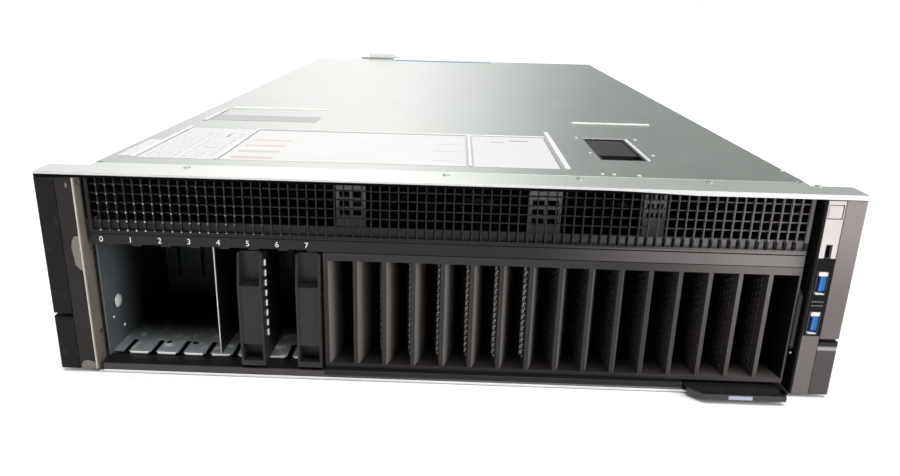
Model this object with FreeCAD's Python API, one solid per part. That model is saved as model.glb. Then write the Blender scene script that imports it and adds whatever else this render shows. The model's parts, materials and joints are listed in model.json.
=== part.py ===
"""A three-unit rack server used as a backup storage appliance.

Sizes are in millimetres. X runs to the right seen from the front, Y runs from the front
to the rear and Z points up. The origin lies on the centre line of the bottom face, in the
plane where the ears meet the rack.
"""
import FreeCAD
import Part
import math
import os

# Overall sizes of the rack unit
CHASSIS_WIDTH = 434.0
CHASSIS_HEIGHT = 130.0
CHASSIS_DEPTH = 779.0
EAR_WIDTH = 24.3
EAR_DEPTH = 20.0
SHEET = 1.2
FIT = 0.3

# Upper edge of the side walls and the sheet that closes the top
COVER_SKIRT = 12.0
LEDGE_WIDTH = 8.0
HOOD_DEPTH = 27.5
HOOD_LIP = 3.0
EAR_CHAMFER = 1.0
COVER_TRAVEL = 12.0
COVER_RELIEF = 2.4
COVER_RELIEF_INSET = 3.0
WALL_START = -1.0
FLOOR_SETBACK = 0.6

# Front levels, counted up from the bottom face
SILL_HEIGHT = 5.0
BAY_FLOOR = 8.0
BAY_HEIGHT = 74.4
BAR_HEIGHT = 9.0

# Front depths, counted back from the front of the ears
BEZEL_SETBACK = 5.0
CAGE_SETBACK = 14.0
CAGE_WALL_SETBACK = 9.5
CAGE_LENGTH = 96.0
CAGE_SHEET = 1.0

# Drive slots
SLOT_COUNT = 24
OPEN_BAYS = 8
BLANK_INDEXES = (5, 7)
DIVIDER_INDEX = 4
BLANK_SIDE_GAP = 1.37
BLANK_SHIFT = -1.6
BLANK_LENGTH = 46.0
BLANK_WALL = 1.4
BLANK_UPPER_RECESS = 20.0
BLANK_LOWER_RECESS = 11.0
BLANK_RECESS_DEPTH = 8.0
BLANK_LIP = 3.5
SPRING_COUNT = 8
SPRING_SIZE = (0.8, 2.2, 3.8)
SPRING_PITCH = 6.7
SPRING_BOTTOM = 25.6
FLOOR_SLOT_WIDTH = 3.4
FLOOR_SLOT_LENGTH = 14.0
FLOOR_SLOT_SETBACK = 3.0
DIVIDER_SHEET = 0.8

# Slot filler
FILLER_DEPTH = 27.0
FILLER_FLANGE = 3.0
FILLER_RIB = 2.6
FILLER_SKIN = 1.3
FILLER_LAP = 2.0
FILLER_TOP_BAND = 3.6
FILLER_BOTTOM_BAND = 1.0
POCKET_LEAN = 4.2
POCKET_FLOOR_WIDTH = 2.6

# Air grille
GRILLE_COLUMNS = 78
GRILLE_ROWS = 6
GRILLE_BAR = 0.7
GRILLE_PLATE = 1.8
GRILLE_CROSS = 1.2
GRILLE_SIDE_FRAME = 1.6
GRILLE_BOTTOM_FRAME = 1.0
GRILLE_TOP_FRAME = 1.0
SHELF_HEIGHT = 6.0
SHELF_THICKNESS = 1.2

# Ears and rack latches
EAR_SHEET = 1.5
EAR_FLANGE = 2.0
EAR_BOTTOM = 2.0
EAR_TRIM_WIDTH = 12.0
EAR_SHELL = 1.8
EAR_LEG_LENGTH = 30.0
EAR_LEG_INSET = 16.0
EAR_HOLES = ((3.6, 123.0, 1.6), (10.0, 80.0, 1.4), (9.6, 24.0, 2.2), (5.4, 7.0, 1.6))
EAR_HOLE_SIDES = 8
RACK_HOLE_OFFSET = 15.55
RACK_HOLE_HEIGHT = 20.7
RACK_HOLE_RADIUS = 3.4
LATCH_TOP = 37.6
LATCH_GROOVE = 2.2
LATCH_WALL = 2.4
LATCH_KNUCKLE = 7.0
LATCH_ROUND = 2.5
LATCH_NECK = 4.0
LATCH_PIN_RADIUS = 2.0
HOOK_WIDTH = 3.0
HOOK_RISE = 1.0
HOOK_DROP = 5.6
HOOK_THICKNESS = 4.0
HOOK_REACH = 5.0
HOOK_NOSE = 3.0
HINGE_CLEARANCE = 0.05
ROUND_SIDES = 10

# Controls in the right ear, each given by its centre height
PANEL_SIDE = 0.6
BUTTON_SIZE = 8.0
BUTTON_HEIGHT = 119.8
BUTTON_FLANGE = 0.8
BUTTON_FLANGE_DROP = 1.2
BUTTON_TRAVEL = 1.0
SERVICE_PORT_SIZE = (3.4, 8.6)
SERVICE_PORT_HEIGHT = 95.7
USB_SIZE = (7.2, 15.2)
USB_HEIGHTS = (75.9, 50.2)
USB_DEPTH = 13.0
USB_WALL = 0.5
USB_TONGUE = (1.6, 11.5, 9.0)
CONTROL_BOARD = 1.6

# Information tag
TAG_WIDTH = 57.6
TAG_INSET = 2.2
TAG_LENGTH = 88.0
TAG_THICKNESS = 1.6
TAG_OUT = 12.0
TAG_RIM = (2.4, 3.6)
TAG_CORNER = 8.0
TAG_WALL = 1.0
TAG_GUIDE_SETBACK = 9.5

# Cover latch and embossed fields, placed from the cover's sides and its front edge
LATCH_BOX_INSET = 114.0
LATCH_BOX_WIDTH = 31.0
LATCH_BOX_START = 48.0
LATCH_BOX_LENGTH = 76.0
LATCH_BOX_DEPTH = 10.0
LATCH_BOX_WALL = 1.2
COVER_LEVER_LENGTH = 54.0
COVER_LEVER_THICKNESS = 3.0
COVER_PIN_RADIUS = 1.5
COVER_KNUCKLE = 3.0
LOCK_RADIUS = 4.5
LOCK_HEIGHT = 6.0
LOCK_STEM_RADIUS = 2.0
LOCK_GAP = 2.0
LOCK_SLOT = (1.2, 1.5)
LABEL_INSETS = (16.0, 143.0)
LABEL_START = 16.0
LABEL_LENGTH = 111.0
NOTE_INSET = 14.0
NOTE_WIDTH = 93.0
NOTE_START = 155.0
NOTE_LENGTH = 67.0
BEAD_INSETS = (112.0, 46.0)
BEAD_START = 191.5
BEAD_WIDTH = 4.0
EMBOSS = 0.4

# Backplane and its plugs
BACKPLANE_THICKNESS = 2.0
PLUG_SIZE = (6.0, 6.0, 34.0)
PLUG_BOTTOM = 24.0

# Fans
FAN_COUNT = 4
FAN_GAP = 30.0
FAN_DEPTH = 40.0
FAN_HEIGHT = 112.0
FAN_DUCT_RADIUS = 47.0
FAN_DUCT_SIDES = 12
FAN_TIP_GAP = 1.5
FAN_HUB_RADIUS = 18.0
FAN_HUB_DEPTH = 24.0
FAN_BLADES = 5
FAN_BLADE_CHORD = 26.0
FAN_BLADE_THICKNESS = 1.6
FAN_BLADE_PITCH = 38.0
FAN_SHAFT_RADIUS = 2.5
FAN_STRUT = 9.0
FAN_INSET = 5.0

# Boards, coolers and memory
BOARD_THICKNESS = 1.6
BOARD_HEIGHT = 7.0
BOARD_GAP = 20.0
BOARD_EDGE = 9.0
UPPER_BOARD_HEIGHT = 66.0
UPPER_BOARD_LENGTH = 240.0
POST_RADIUS = 3.0
POST_SIDES = 6
COOLER_X = 100.0
COOLER_START = 45.0
COOLER_SIZE = (88.0, 104.0, 46.0)
COOLER_BASE = 7.0
COOLER_FINS = 6
COOLER_FIN = 2.0
MEMORY_PER_SIDE = 2
MEMORY_PITCH = 14.0
MEMORY_SIZE = (3.0, 133.0, 31.0)
MEMORY_GAP = 4.0
SHROUD_HEIGHT = 121.0

# Power supplies
PSU_WIDTH = 86.0
PSU_HEIGHT = 40.0
PSU_LENGTH = 190.0
PSU_TRAVEL = 150.0
PSU_HANDLE = (44.0, 34.0, 5.0)
PSU_HANDLE_X = 46.0
PSU_HANDLE_Z = 8.0
PSU_HANDLE_HEIGHT = 8.0
PSU_INLET = (24.0, 20.0, 18.0)
PSU_INLET_X = 60.0
PSU_INLET_Z = 12.0
PSU_LATCH_WIDTH = 4.0
PSU_LATCH_REACH = 14.0
PSU_LATCH_POCKET = (10.0, 26.0, 14.0)
POWER_BOARD_GAP = 8.0
POWER_SOCKET = (40.0, 16.0)

# Rear wall and what it holds, placed from its sides
CARD_PITCH = 20.32
CARD_INSET = 128.4
CARD_GAP = 18.0
CARD_OPENING = (13.0, 96.0)
CARD_OPENING_BOTTOM = 16.0
CARD_COVER = (18.4, 104.0, 0.9)
RETAINER_DEPTH = 10.0
RETAINER_RISE = 0.8
RETAINER_OVERHANG = 4.0
NOTCH_GAP = 2.0
PORT_BLOCK_INSET = 145.0
PORT_COUNT = 5
PORT_PITCH = 17.0
PORT_SIZE = (13.0, 11.0, 14.0)
PORT_BLOCK = (16.0, 24.0)
VIDEO_PORT = (31.0, 8.5, 5.0)
VENT_ROWS = 7
VENT_SIZE = (118.0, 6.0)
VENT_PITCH = 11.5
VENT_BOTTOM = 34.0
HANDLE_INSET = 63.0
HANDLE_WIDTH = 55.0
HANDLE_REACH = 26.0
HANDLE_STRAP = 5.0
HANDLE_HEIGHT = 16.0
HANDLE_GRIP_HEIGHT = 24.0
HANDLE_TOP = 132.0

# Studs that hang the chassis in its rack slides
STUD_PLACES = (90.0, 560.0)
STUD_HEIGHT = 62.0
STUD_RADIUS = 4.0
STUD_LENGTH = 3.0
STUD_HEAD_RADIUS = 6.0
STUD_HEAD = 1.2

# Lines and levels that several pieces share
FRONT = -EAR_DEPTH
REAR = CHASSIS_DEPTH
TOP = CHASSIS_HEIGHT
HALF = CHASSIS_WIDTH / 2
RACK_HALF = HALF + EAR_WIDTH
EAR_SPLIT = HALF + EAR_TRIM_WIDTH
EAR_TOP = TOP - HOOD_LIP - FIT
LEDGE_X = HALF - SHEET - FIT
LEDGE_Z = TOP - SHEET - FIT
CLEAR_HALF = LEDGE_X - SHEET - FIT
SLOT_PITCH = 2 * CLEAR_HALF / SLOT_COUNT
BLANK_WIDTH = SLOT_PITCH - 2 * BLANK_SIDE_GAP
HOOD_REAR = FRONT + HOOD_DEPTH
COVER_FRONT = HOOD_REAR + FIT
BEZEL_Y = FRONT + BEZEL_SETBACK
BAY_TOP = BAY_FLOOR + BAY_HEIGHT
BAR_BOTTOM = BAY_TOP + CAGE_SHEET + FIT
BAR_TOP = BAR_BOTTOM + BAR_HEIGHT
SILL_TOP = SHEET + SILL_HEIGHT
CAGE_FRONT = FRONT + CAGE_SETBACK
CAGE_REAR = CAGE_FRONT + CAGE_LENGTH
BACKPLANE_Y = CAGE_REAR + FIT
FILLER_X = -CLEAR_HALF + OPEN_BAYS * SLOT_PITCH
FAN_FRONT = BACKPLANE_Y + BACKPLANE_THICKNESS + FAN_GAP
FAN_REAR = FAN_FRONT + FAN_DEPTH
FAN_PITCH = 2 * CLEAR_HALF / FAN_COUNT
FAN_AXIS_Z = SHEET + FAN_HEIGHT / 2
BOARD_FRONT = FAN_REAR + BOARD_GAP
BOARD_TOP = BOARD_HEIGHT + BOARD_THICKNESS
PSU_X = -CLEAR_HALF + FIT
PSU_FRONT = REAR - PSU_LENGTH
PSU_WALL_X = PSU_X + PSU_WIDTH + FIT
PSU_STEP = PSU_HEIGHT + 2 * FIT + CAGE_SHEET
PSU_LEVELS = (SHEET + FIT, SHEET + FIT + PSU_STEP)
LATCH_AXIS_Y = FRONT + LATCH_KNUCKLE
LATCH_AXIS_Z = LATCH_TOP - LATCH_KNUCKLE
CONTROL_X = (HALF + EAR_SHEET + EAR_SPLIT - FIT) / 2
CONTROL_BOARD_Y = FRONT + EAR_SHELL + USB_DEPTH
TAG_X = CLEAR_HALF - TAG_INSET - TAG_WALL - FIT - TAG_WIDTH
TAG_Z = SHEET + TAG_WALL + FIT
LATCH_BOX_X = HALF - LATCH_BOX_INSET
LATCH_BOX_Y = COVER_FRONT + LATCH_BOX_START
COVER_AXIS_Y = LATCH_BOX_Y + LATCH_BOX_LENGTH - LATCH_BOX_WALL - COVER_KNUCKLE - 2 * FIT
COVER_AXIS_Z = TOP - COVER_KNUCKLE - 2 * FIT
LOCK_X = LATCH_BOX_X + LATCH_BOX_WIDTH / 2
LOCK_Y = LATCH_BOX_Y + LATCH_BOX_WALL + LOCK_RADIUS + LOCK_GAP
CARD_START = -HALF + CARD_INSET
PORT_BLOCK_X = HALF - PORT_BLOCK_INSET
CARD_SLOTS = int((PORT_BLOCK_X - CARD_GAP - CARD_START) / CARD_PITCH)
CARD_END = CARD_START + CARD_SLOTS * CARD_PITCH
CARD_COVER_BOTTOM = CARD_OPENING_BOTTOM - (CARD_COVER[1] - CARD_OPENING[1]) / 2
HANDLE_X = (-HALF + HANDLE_INSET, -HALF + HANDLE_INSET + HANDLE_WIDTH)


def at(axis, along, first, second):
    """Point at a distance along one axis and two coordinates across it, in X, Y, Z order."""
    if axis == "X":
        return FreeCAD.Vector(along, first, second)
    if axis == "Y":
        return FreeCAD.Vector(first, along, second)
    return FreeCAD.Vector(first, second, along)


def block(x, y, z):
    """Box between a low and a high limit on each axis."""
    corner = FreeCAD.Vector(x[0], y[0], z[0])
    return Part.makeBox(x[1] - x[0], y[1] - y[0], z[1] - z[0], corner)


def span(start, length):
    """Low and high limit of a length that begins at a place."""
    return (start, start + length)


def around(centre, length):
    """Low and high limit of a length that is centred on a place."""
    return (centre - length / 2, centre + length / 2)


def rectangle(first, second):
    """Corners of a rectangle between two pairs of limits."""
    return [(first[0], second[0]), (first[1], second[0]),
            (first[1], second[1]), (first[0], second[1])]


def polygon(centre, radius, sides):
    """Corners of a regular polygon with a flat side at its bottom."""
    step = 2 * math.pi / sides
    angles = [step * (i + 0.5) - math.pi / 2 for i in range(sides)]
    return [(centre[0] + radius * math.cos(a), centre[1] + radius * math.sin(a)) for a in angles]


def extrusion(axis, outline, limits, holes=()):
    """Straight-sided outline with holes, drawn across an axis and pulled along it."""
    wires = []
    for points in (outline, *holes):
        corners = [at(axis, limits[0], *p) for p in points]
        wires.append(Part.makePolygon(corners + corners[:1]))
    face = Part.makeFace(wires, "Part::FaceMakerCheese")
    return face.extrude(at(axis, limits[1] - limits[0], 0, 0))


def both_sides(right):
    """Outline that repeats its right half, listed from one end to the other, on the left."""
    return right + [(-x, other) for x, other in reversed(right)]


def rod(axis, radius, centre, limits):
    """Round bar along an axis."""
    start = at(axis, limits[0], *centre)
    return Part.makeCylinder(radius, limits[1] - limits[0], start, at(axis, 1, 0, 0))


def joined(*shapes):
    """One solid from shapes that meet."""
    return shapes[0].fuse(list(shapes[1:])).removeSplitter()


def mirrored(shape):
    """The same piece on the other side of the centre line."""
    return shape.mirror(FreeCAD.Vector(0, 0, 0), FreeCAD.Vector(1, 0, 0))


def slot_centre(bay):
    """Middle of a drive slot, counted from the left."""
    return -CLEAR_HALF + (bay + 0.5) * SLOT_PITCH


def chassis_base():
    """Folded tray: floor, side walls stepped in at the top and a ledge for the cover."""
    shoulder = TOP - COVER_SKIRT - FIT
    right = [
        (HALF, 0), (HALF, shoulder), (LEDGE_X, shoulder), (LEDGE_X, LEDGE_Z),
        (LEDGE_X - LEDGE_WIDTH, LEDGE_Z), (LEDGE_X - LEDGE_WIDTH, LEDGE_Z - SHEET),
        (LEDGE_X - SHEET, LEDGE_Z - SHEET), (LEDGE_X - SHEET, shoulder - SHEET),
        (HALF - SHEET, shoulder - SHEET), (HALF - SHEET, SHEET),
    ]
    tray = extrusion("Y", both_sides(right), (WALL_START, REAR - SHEET))
    apron = block((-HALF, HALF), (FRONT + FLOOR_SETBACK, WALL_START), (0, SHEET))
    return joined(tray, apron)


def front_hood():
    """Fixed strip over the front, wide over the ears, with a lip folded down at the front."""
    cut = EAR_CHAMFER
    corner = [(RACK_HALF - cut, FRONT), (RACK_HALF, FRONT + cut), (RACK_HALF, -FIT - cut)]
    plate = both_sides([*corner, (RACK_HALF - cut, -FIT), (HALF, -FIT), (HALF, HOOD_REAR)])
    inset = cut + SHEET * math.tan(math.pi / 8)
    inner = [(RACK_HALF - SHEET, -FIT - cut), (RACK_HALF - SHEET, FRONT + inset),
             (RACK_HALF - inset, FRONT + SHEET)]
    lip = both_sides(corner + inner)
    return joined(extrusion("Z", plate, (TOP - SHEET, TOP)),
                  extrusion("Z", lip, (TOP - HOOD_LIP, TOP - SHEET)))


def top_cover():
    """Sliding cover with folded skirts, a window for its latch and embossed label fields."""
    inner = HALF - SHEET
    bottom = TOP - COVER_SKIRT
    section = both_sides([(inner, TOP - SHEET), (inner, bottom), (HALF, bottom), (HALF, TOP)])
    cover = extrusion("Y", section, (COVER_FRONT, REAR))
    through = (TOP - SHEET, TOP)
    dented = (TOP - EMBOSS, TOP)
    notch_depth = RETAINER_DEPTH + COVER_TRAVEL + NOTCH_GAP
    relief = block(around(HALF - COVER_RELIEF_INSET, COVER_RELIEF), span(COVER_FRONT, COVER_RELIEF), through)
    cuts = [
        block(span(LATCH_BOX_X, LATCH_BOX_WIDTH), span(LATCH_BOX_Y, LATCH_BOX_LENGTH), through),
        block((CARD_START - RETAINER_OVERHANG - 2 * FIT, CARD_END + RETAINER_OVERHANG + 2 * FIT),
              (REAR - notch_depth, REAR), through),
        block((-HALF + LABEL_INSETS[0], HALF - LABEL_INSETS[1]),
              span(COVER_FRONT + LABEL_START, LABEL_LENGTH), dented),
        block(span(-HALF + NOTE_INSET, NOTE_WIDTH), span(COVER_FRONT + NOTE_START, NOTE_LENGTH), dented),
        block((HALF - BEAD_INSETS[0], HALF - BEAD_INSETS[1]),
              span(COVER_FRONT + BEAD_START, BEAD_WIDTH), dented),
        relief,
        mirrored(relief),
    ]
    return cover.cut(cuts)


def cover_latch_tray():
    """Sunk tray that carries the cover's lever and lock."""
    x = (LATCH_BOX_X + FIT, LATCH_BOX_X + LATCH_BOX_WIDTH - FIT)
    y = (LATCH_BOX_Y + FIT, LATCH_BOX_Y + LATCH_BOX_LENGTH - FIT)
    wall = LATCH_BOX_WALL
    tray = block(x, y, (TOP - LATCH_BOX_DEPTH, TOP))
    floor = TOP - LATCH_BOX_DEPTH
    hollow = block((x[0] + wall, x[1] - wall), (y[0] + wall, y[1] - wall), (floor + wall, TOP))
    stem_hole = rod("Z", LOCK_STEM_RADIUS + HINGE_CLEARANCE, (LOCK_X, LOCK_Y), span(floor, wall))
    return tray.cut([hollow, stem_hole])


def cover_lever_x():
    """Limits of the lever between the side walls of its tray."""
    side = LATCH_BOX_WALL + 3 * FIT
    return (LATCH_BOX_X + side, LATCH_BOX_X + LATCH_BOX_WIDTH - side)


def cover_latch_lever():
    """Lever that lies flush in the tray and swings up about its rear end."""
    x = cover_lever_x()
    top = COVER_AXIS_Z + COVER_KNUCKLE
    arm = block(x, (COVER_AXIS_Y - COVER_LEVER_LENGTH, COVER_AXIS_Y),
                (top - COVER_LEVER_THICKNESS, top))
    lip = block(x, span(COVER_AXIS_Y - COVER_LEVER_LENGTH, COVER_LEVER_THICKNESS),
                (top - 2 * COVER_LEVER_THICKNESS, top - COVER_LEVER_THICKNESS))
    axis = (COVER_AXIS_Y, COVER_AXIS_Z)
    knuckle = extrusion("X", polygon(axis, COVER_KNUCKLE, ROUND_SIDES), x)
    bore = rod("X", COVER_PIN_RADIUS + HINGE_CLEARANCE, axis, x)
    return joined(arm, lip, knuckle).cut(bore)


def cover_latch_pin():
    """Pin across the tray that the lever turns on."""
    side = LATCH_BOX_WALL + FIT
    x = (LATCH_BOX_X + side, LATCH_BOX_X + LATCH_BOX_WIDTH - side)
    return rod("X", COVER_PIN_RADIUS, (COVER_AXIS_Y, COVER_AXIS_Z), x)


def cover_lock():
    """Quarter-turn lock with a driver slot, turning on a stem in the floor of the tray."""
    base = TOP - LATCH_BOX_DEPTH + LATCH_BOX_WALL
    place = (LOCK_X, LOCK_Y)
    barrel = extrusion("Z", polygon(place, LOCK_RADIUS, ROUND_SIDES), span(base, LOCK_HEIGHT))
    stem = rod("Z", LOCK_STEM_RADIUS, place, (TOP - LATCH_BOX_DEPTH, base))
    slot = block(around(LOCK_X, 2 * LOCK_RADIUS), around(LOCK_Y, LOCK_SLOT[0]),
                 (base + LOCK_HEIGHT - LOCK_SLOT[1], base + LOCK_HEIGHT))
    return joined(barrel, stem).cut(slot)


def ear_bracket():
    """Right rack ear: a flange for the rack, a side plate and the leg along the chassis."""
    flange = block((HALF, RACK_HALF - SHEET - FIT), (-EAR_FLANGE, 0), (EAR_BOTTOM, EAR_TOP))
    small = [polygon((FRONT + y, z), radius, EAR_HOLE_SIDES) for y, z, radius in EAR_HOLES]
    plate = extrusion("X", rectangle((FRONT, 0), (EAR_BOTTOM, EAR_TOP)), span(HALF, EAR_SHEET), small)
    leg = block(span(HALF, EAR_SHEET), (0, EAR_LEG_LENGTH),
                (EAR_BOTTOM + EAR_LEG_INSET, EAR_TOP - EAR_LEG_INSET))
    hole_x = HALF + RACK_HOLE_OFFSET
    hole_start = at("Y", -EAR_FLANGE, hole_x, RACK_HOLE_HEIGHT)
    rack_hole = Part.makeCylinder(RACK_HOLE_RADIUS, EAR_FLANGE, hole_start, at("Y", 1, 0, 0))
    hook_slot = block(around(hole_x, HOOK_WIDTH + 4 * FIT), (-EAR_FLANGE, 0),
                      (LATCH_AXIS_Z - HOOK_DROP, LATCH_AXIS_Z + HOOK_RISE + HOOK_THICKNESS + 2 * FIT))
    return joined(flange, plate, leg).cut([rack_hole, hook_slot])


def ear_edge():
    """Wedge that bevels the outer front edge of the right ear."""
    corner = [(RACK_HALF - EAR_CHAMFER, FRONT), (RACK_HALF, FRONT), (RACK_HALF, FRONT + EAR_CHAMFER)]
    return extrusion("Z", corner, (EAR_BOTTOM, EAR_TOP))


def ear_cover():
    """Plastic cover of the right ear above its latch, open towards the flange."""
    x = (EAR_SPLIT, RACK_HALF)
    y = (FRONT, -EAR_FLANGE)
    z = (LATCH_TOP + LATCH_GROOVE, EAR_TOP)
    inner_x = (x[0] + EAR_SHELL, x[1] - EAR_SHELL)
    inner_y = y[0] + EAR_SHELL
    hollow = extrusion("Z", [
        (inner_x[0], inner_y), (inner_x[1] - EAR_CHAMFER, inner_y), (inner_x[1], inner_y + EAR_CHAMFER),
        (inner_x[1], y[1]), (inner_x[0], y[1]),
    ], (z[0] + EAR_SHELL, z[1] - EAR_SHELL))
    return block(x, y, z).cut([hollow, ear_edge()])


def ear_trim():
    """Plastic strip of the right ear beside the chassis, open towards the flange."""
    x = (HALF + EAR_SHEET, EAR_SPLIT - FIT)
    y = (FRONT, -EAR_FLANGE)
    z = (EAR_BOTTOM, EAR_TOP)
    hollow = block((x[0] + PANEL_SIDE, x[1] - PANEL_SIDE), (y[0] + EAR_SHELL, y[1]),
                   (z[0] + EAR_SHELL, z[1] - EAR_SHELL))
    return block(x, y, z).cut(hollow)


def latch_lever():
    """Right rack latch: a lever with a rounded top and a hook through the flange."""
    inner = FRONT + LATCH_WALL
    back = LATCH_AXIS_Y + LATCH_KNUCKLE
    section = [
        (back, LATCH_AXIS_Z), (back, LATCH_AXIS_Z - LATCH_NECK), (inner, LATCH_AXIS_Z - 3 * LATCH_NECK),
        (inner, EAR_BOTTOM), (FRONT, EAR_BOTTOM), (FRONT, LATCH_TOP - LATCH_ROUND),
    ]
    points = [at("X", EAR_SPLIT, *corner) for corner in section]
    brow = at("X", EAR_SPLIT, FRONT + LATCH_ROUND, LATCH_TOP)
    peak = at("X", EAR_SPLIT, LATCH_AXIS_Y, LATCH_TOP)
    inset = LATCH_ROUND * (1 - math.sqrt(0.5))
    reach = LATCH_KNUCKLE * math.sqrt(0.5)
    corner = Part.Arc(points[-1], at("X", EAR_SPLIT, FRONT + inset, LATCH_TOP - inset), brow)
    crown = Part.Arc(peak, at("X", EAR_SPLIT, LATCH_AXIS_Y + reach, LATCH_AXIS_Z + reach), points[0])
    top = Part.makeLine(brow, peak)
    outline = Part.Wire([Part.makePolygon(points), corner.toShape(), top, crown.toShape()])
    lever = Part.Face(outline).extrude(at("X", RACK_HALF - EAR_SPLIT, 0, 0))
    hook_x = around(HALF + RACK_HOLE_OFFSET, HOOK_WIDTH)
    low = LATCH_AXIS_Z + HOOK_RISE
    high = low + HOOK_THICKNESS
    hook = extrusion("X", [
        (LATCH_AXIS_Y + LATCH_PIN_RADIUS + FIT, low), (HOOK_REACH, low), (HOOK_REACH, high + HOOK_NOSE),
        (HOOK_REACH - HOOK_NOSE, high + HOOK_NOSE), (HOOK_REACH - HOOK_NOSE, high),
        (LATCH_AXIS_Y + LATCH_PIN_RADIUS + FIT, high),
    ], hook_x)
    bore = rod("X", LATCH_PIN_RADIUS + HINGE_CLEARANCE, (LATCH_AXIS_Y, LATCH_AXIS_Z),
               (EAR_SPLIT, RACK_HALF - LATCH_WALL - EAR_CHAMFER / 2))
    return joined(lever, hook).cut([bore, ear_edge()])


def rack_latch_pins():
    """Pins of the two rack latches, each standing out of the strip beside it."""
    pin = rod("X", LATCH_PIN_RADIUS, (LATCH_AXIS_Y, LATCH_AXIS_Z),
              (EAR_SPLIT - FIT, RACK_HALF - LATCH_WALL - EAR_CHAMFER / 2 - FIT))
    return Part.makeCompound([pin, mirrored(pin)])


def control_panel():
    """Strip of the right ear with openings for the button and the ports."""
    front = (FRONT, FRONT + EAR_SHELL)
    button = BUTTON_SIZE + 2 * FIT
    cuts = [block(around(CONTROL_X, button), front, around(BUTTON_HEIGHT, button))]
    sizes = [(SERVICE_PORT_SIZE, SERVICE_PORT_HEIGHT)]
    sizes += [(USB_SIZE, height) for height in USB_HEIGHTS]
    for (width, tall), height in sizes:
        cuts.append(block(around(CONTROL_X, width + 2 * FIT), front, around(height, tall + 2 * FIT)))
    return ear_trim().cut(cuts)


def power_button():
    """Square button with a flange behind the panel and a stem towards its switch."""
    behind = FRONT + EAR_SHELL + FIT
    z = around(BUTTON_HEIGHT, BUTTON_SIZE)
    cap = block(around(CONTROL_X, BUTTON_SIZE), (FRONT, behind), z)
    flange = block(around(CONTROL_X, BUTTON_SIZE), span(behind, BUTTON_FLANGE),
                   (z[0] - BUTTON_FLANGE_DROP, z[1]))
    stem = block(around(CONTROL_X, BUTTON_SIZE / 2),
                 (behind + BUTTON_FLANGE, CONTROL_BOARD_Y - BUTTON_TRAVEL - FIT),
                 around(BUTTON_HEIGHT, BUTTON_SIZE / 2))
    return joined(cap, flange, stem)


def port_shell(width, tall, height):
    """Metal shell of a port, open to the front and closed by the board behind it."""
    y = (FRONT + FIT, CONTROL_BOARD_Y)
    outer = block(around(CONTROL_X, width), y, around(height, tall))
    inner = block(around(CONTROL_X, width - 2 * USB_WALL), (y[0], y[1] - USB_WALL),
                  around(height, tall - 2 * USB_WALL))
    return outer.cut(inner)


def front_ports():
    """Metal shells of the two data ports and of the small service port above them."""
    shells = [port_shell(*USB_SIZE, height) for height in USB_HEIGHTS]
    return Part.makeCompound([*shells, port_shell(*SERVICE_PORT_SIZE, SERVICE_PORT_HEIGHT)])


def usb_tongues():
    """Plastic contact tongues inside the two data ports."""
    wide, tall, deep = USB_TONGUE
    y = (CONTROL_BOARD_Y - USB_WALL - deep, CONTROL_BOARD_Y - USB_WALL)
    x = around(CONTROL_X + USB_SIZE[0] / 2 - USB_WALL - FIT - wide / 2, wide)
    return Part.makeCompound([block(x, y, around(height, tall)) for height in USB_HEIGHTS])


def control_board():
    """Circuit board behind the controls of the right ear."""
    x = (HALF + EAR_SHEET + PANEL_SIDE, EAR_SPLIT - FIT - PANEL_SIDE)
    bottom = USB_HEIGHTS[1] - USB_SIZE[1]
    return block(x, span(CONTROL_BOARD_Y, CONTROL_BOARD), (bottom, EAR_TOP - EAR_SHELL))


def front_grille():
    """One-piece lattice of square holes: a plate with upright slots and cross bars behind it."""
    x = (-CLEAR_HALF, CLEAR_HALF)
    left = x[0] + GRILLE_SIDE_FRAME
    bottom = BAR_TOP + GRILLE_BOTTOM_FRAME
    top = TOP - SHEET - FIT - GRILLE_TOP_FRAME
    step_x = -2 * left / GRILLE_COLUMNS
    step_z = (top - bottom) / GRILLE_ROWS
    slots = []
    for column in range(GRILLE_COLUMNS):
        slots.append(rectangle(around(left + (column + 0.5) * step_x, step_x - GRILLE_BAR), (bottom, top)))
    outline = rectangle(x, (BAR_TOP, top + GRILLE_TOP_FRAME))
    plate = extrusion("Y", outline, span(BEZEL_Y, GRILLE_PLATE), slots)
    cross_y = span(BEZEL_Y + GRILLE_PLATE, GRILLE_CROSS)
    bars = [block(x, cross_y, around(bottom + row * step_z, GRILLE_BAR)) for row in range(1, GRILLE_ROWS)]
    return joined(plate, *bars)


def number_bar():
    """Bar over the drive slots with a shelf that stands behind the lowest grille row."""
    shelf_y = BEZEL_Y + GRILLE_PLATE + GRILLE_CROSS + FIT
    back = shelf_y + SHELF_THICKNESS
    section = [
        (BEZEL_Y, BAR_BOTTOM), (back, BAR_BOTTOM), (back, BAR_TOP + SHELF_HEIGHT),
        (shelf_y, BAR_TOP + SHELF_HEIGHT), (shelf_y, BAR_TOP), (BEZEL_Y, BAR_TOP),
    ]
    return extrusion("X", section, (-CLEAR_HALF, CLEAR_HALF))


def front_sill():
    """Plastic bar along the bottom of the front, up to the information tag."""
    section = [
        (FRONT + FLOOR_SETBACK, SHEET), (CAGE_FRONT - FIT, SHEET), (CAGE_FRONT - FIT, SILL_TOP),
        (FRONT + 2 * FLOOR_SETBACK, SILL_TOP), (FRONT + FLOOR_SETBACK, SILL_TOP - FLOOR_SETBACK),
    ]
    return extrusion("X", section, (-CLEAR_HALF, TAG_X - TAG_WALL - 2 * FIT))


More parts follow.
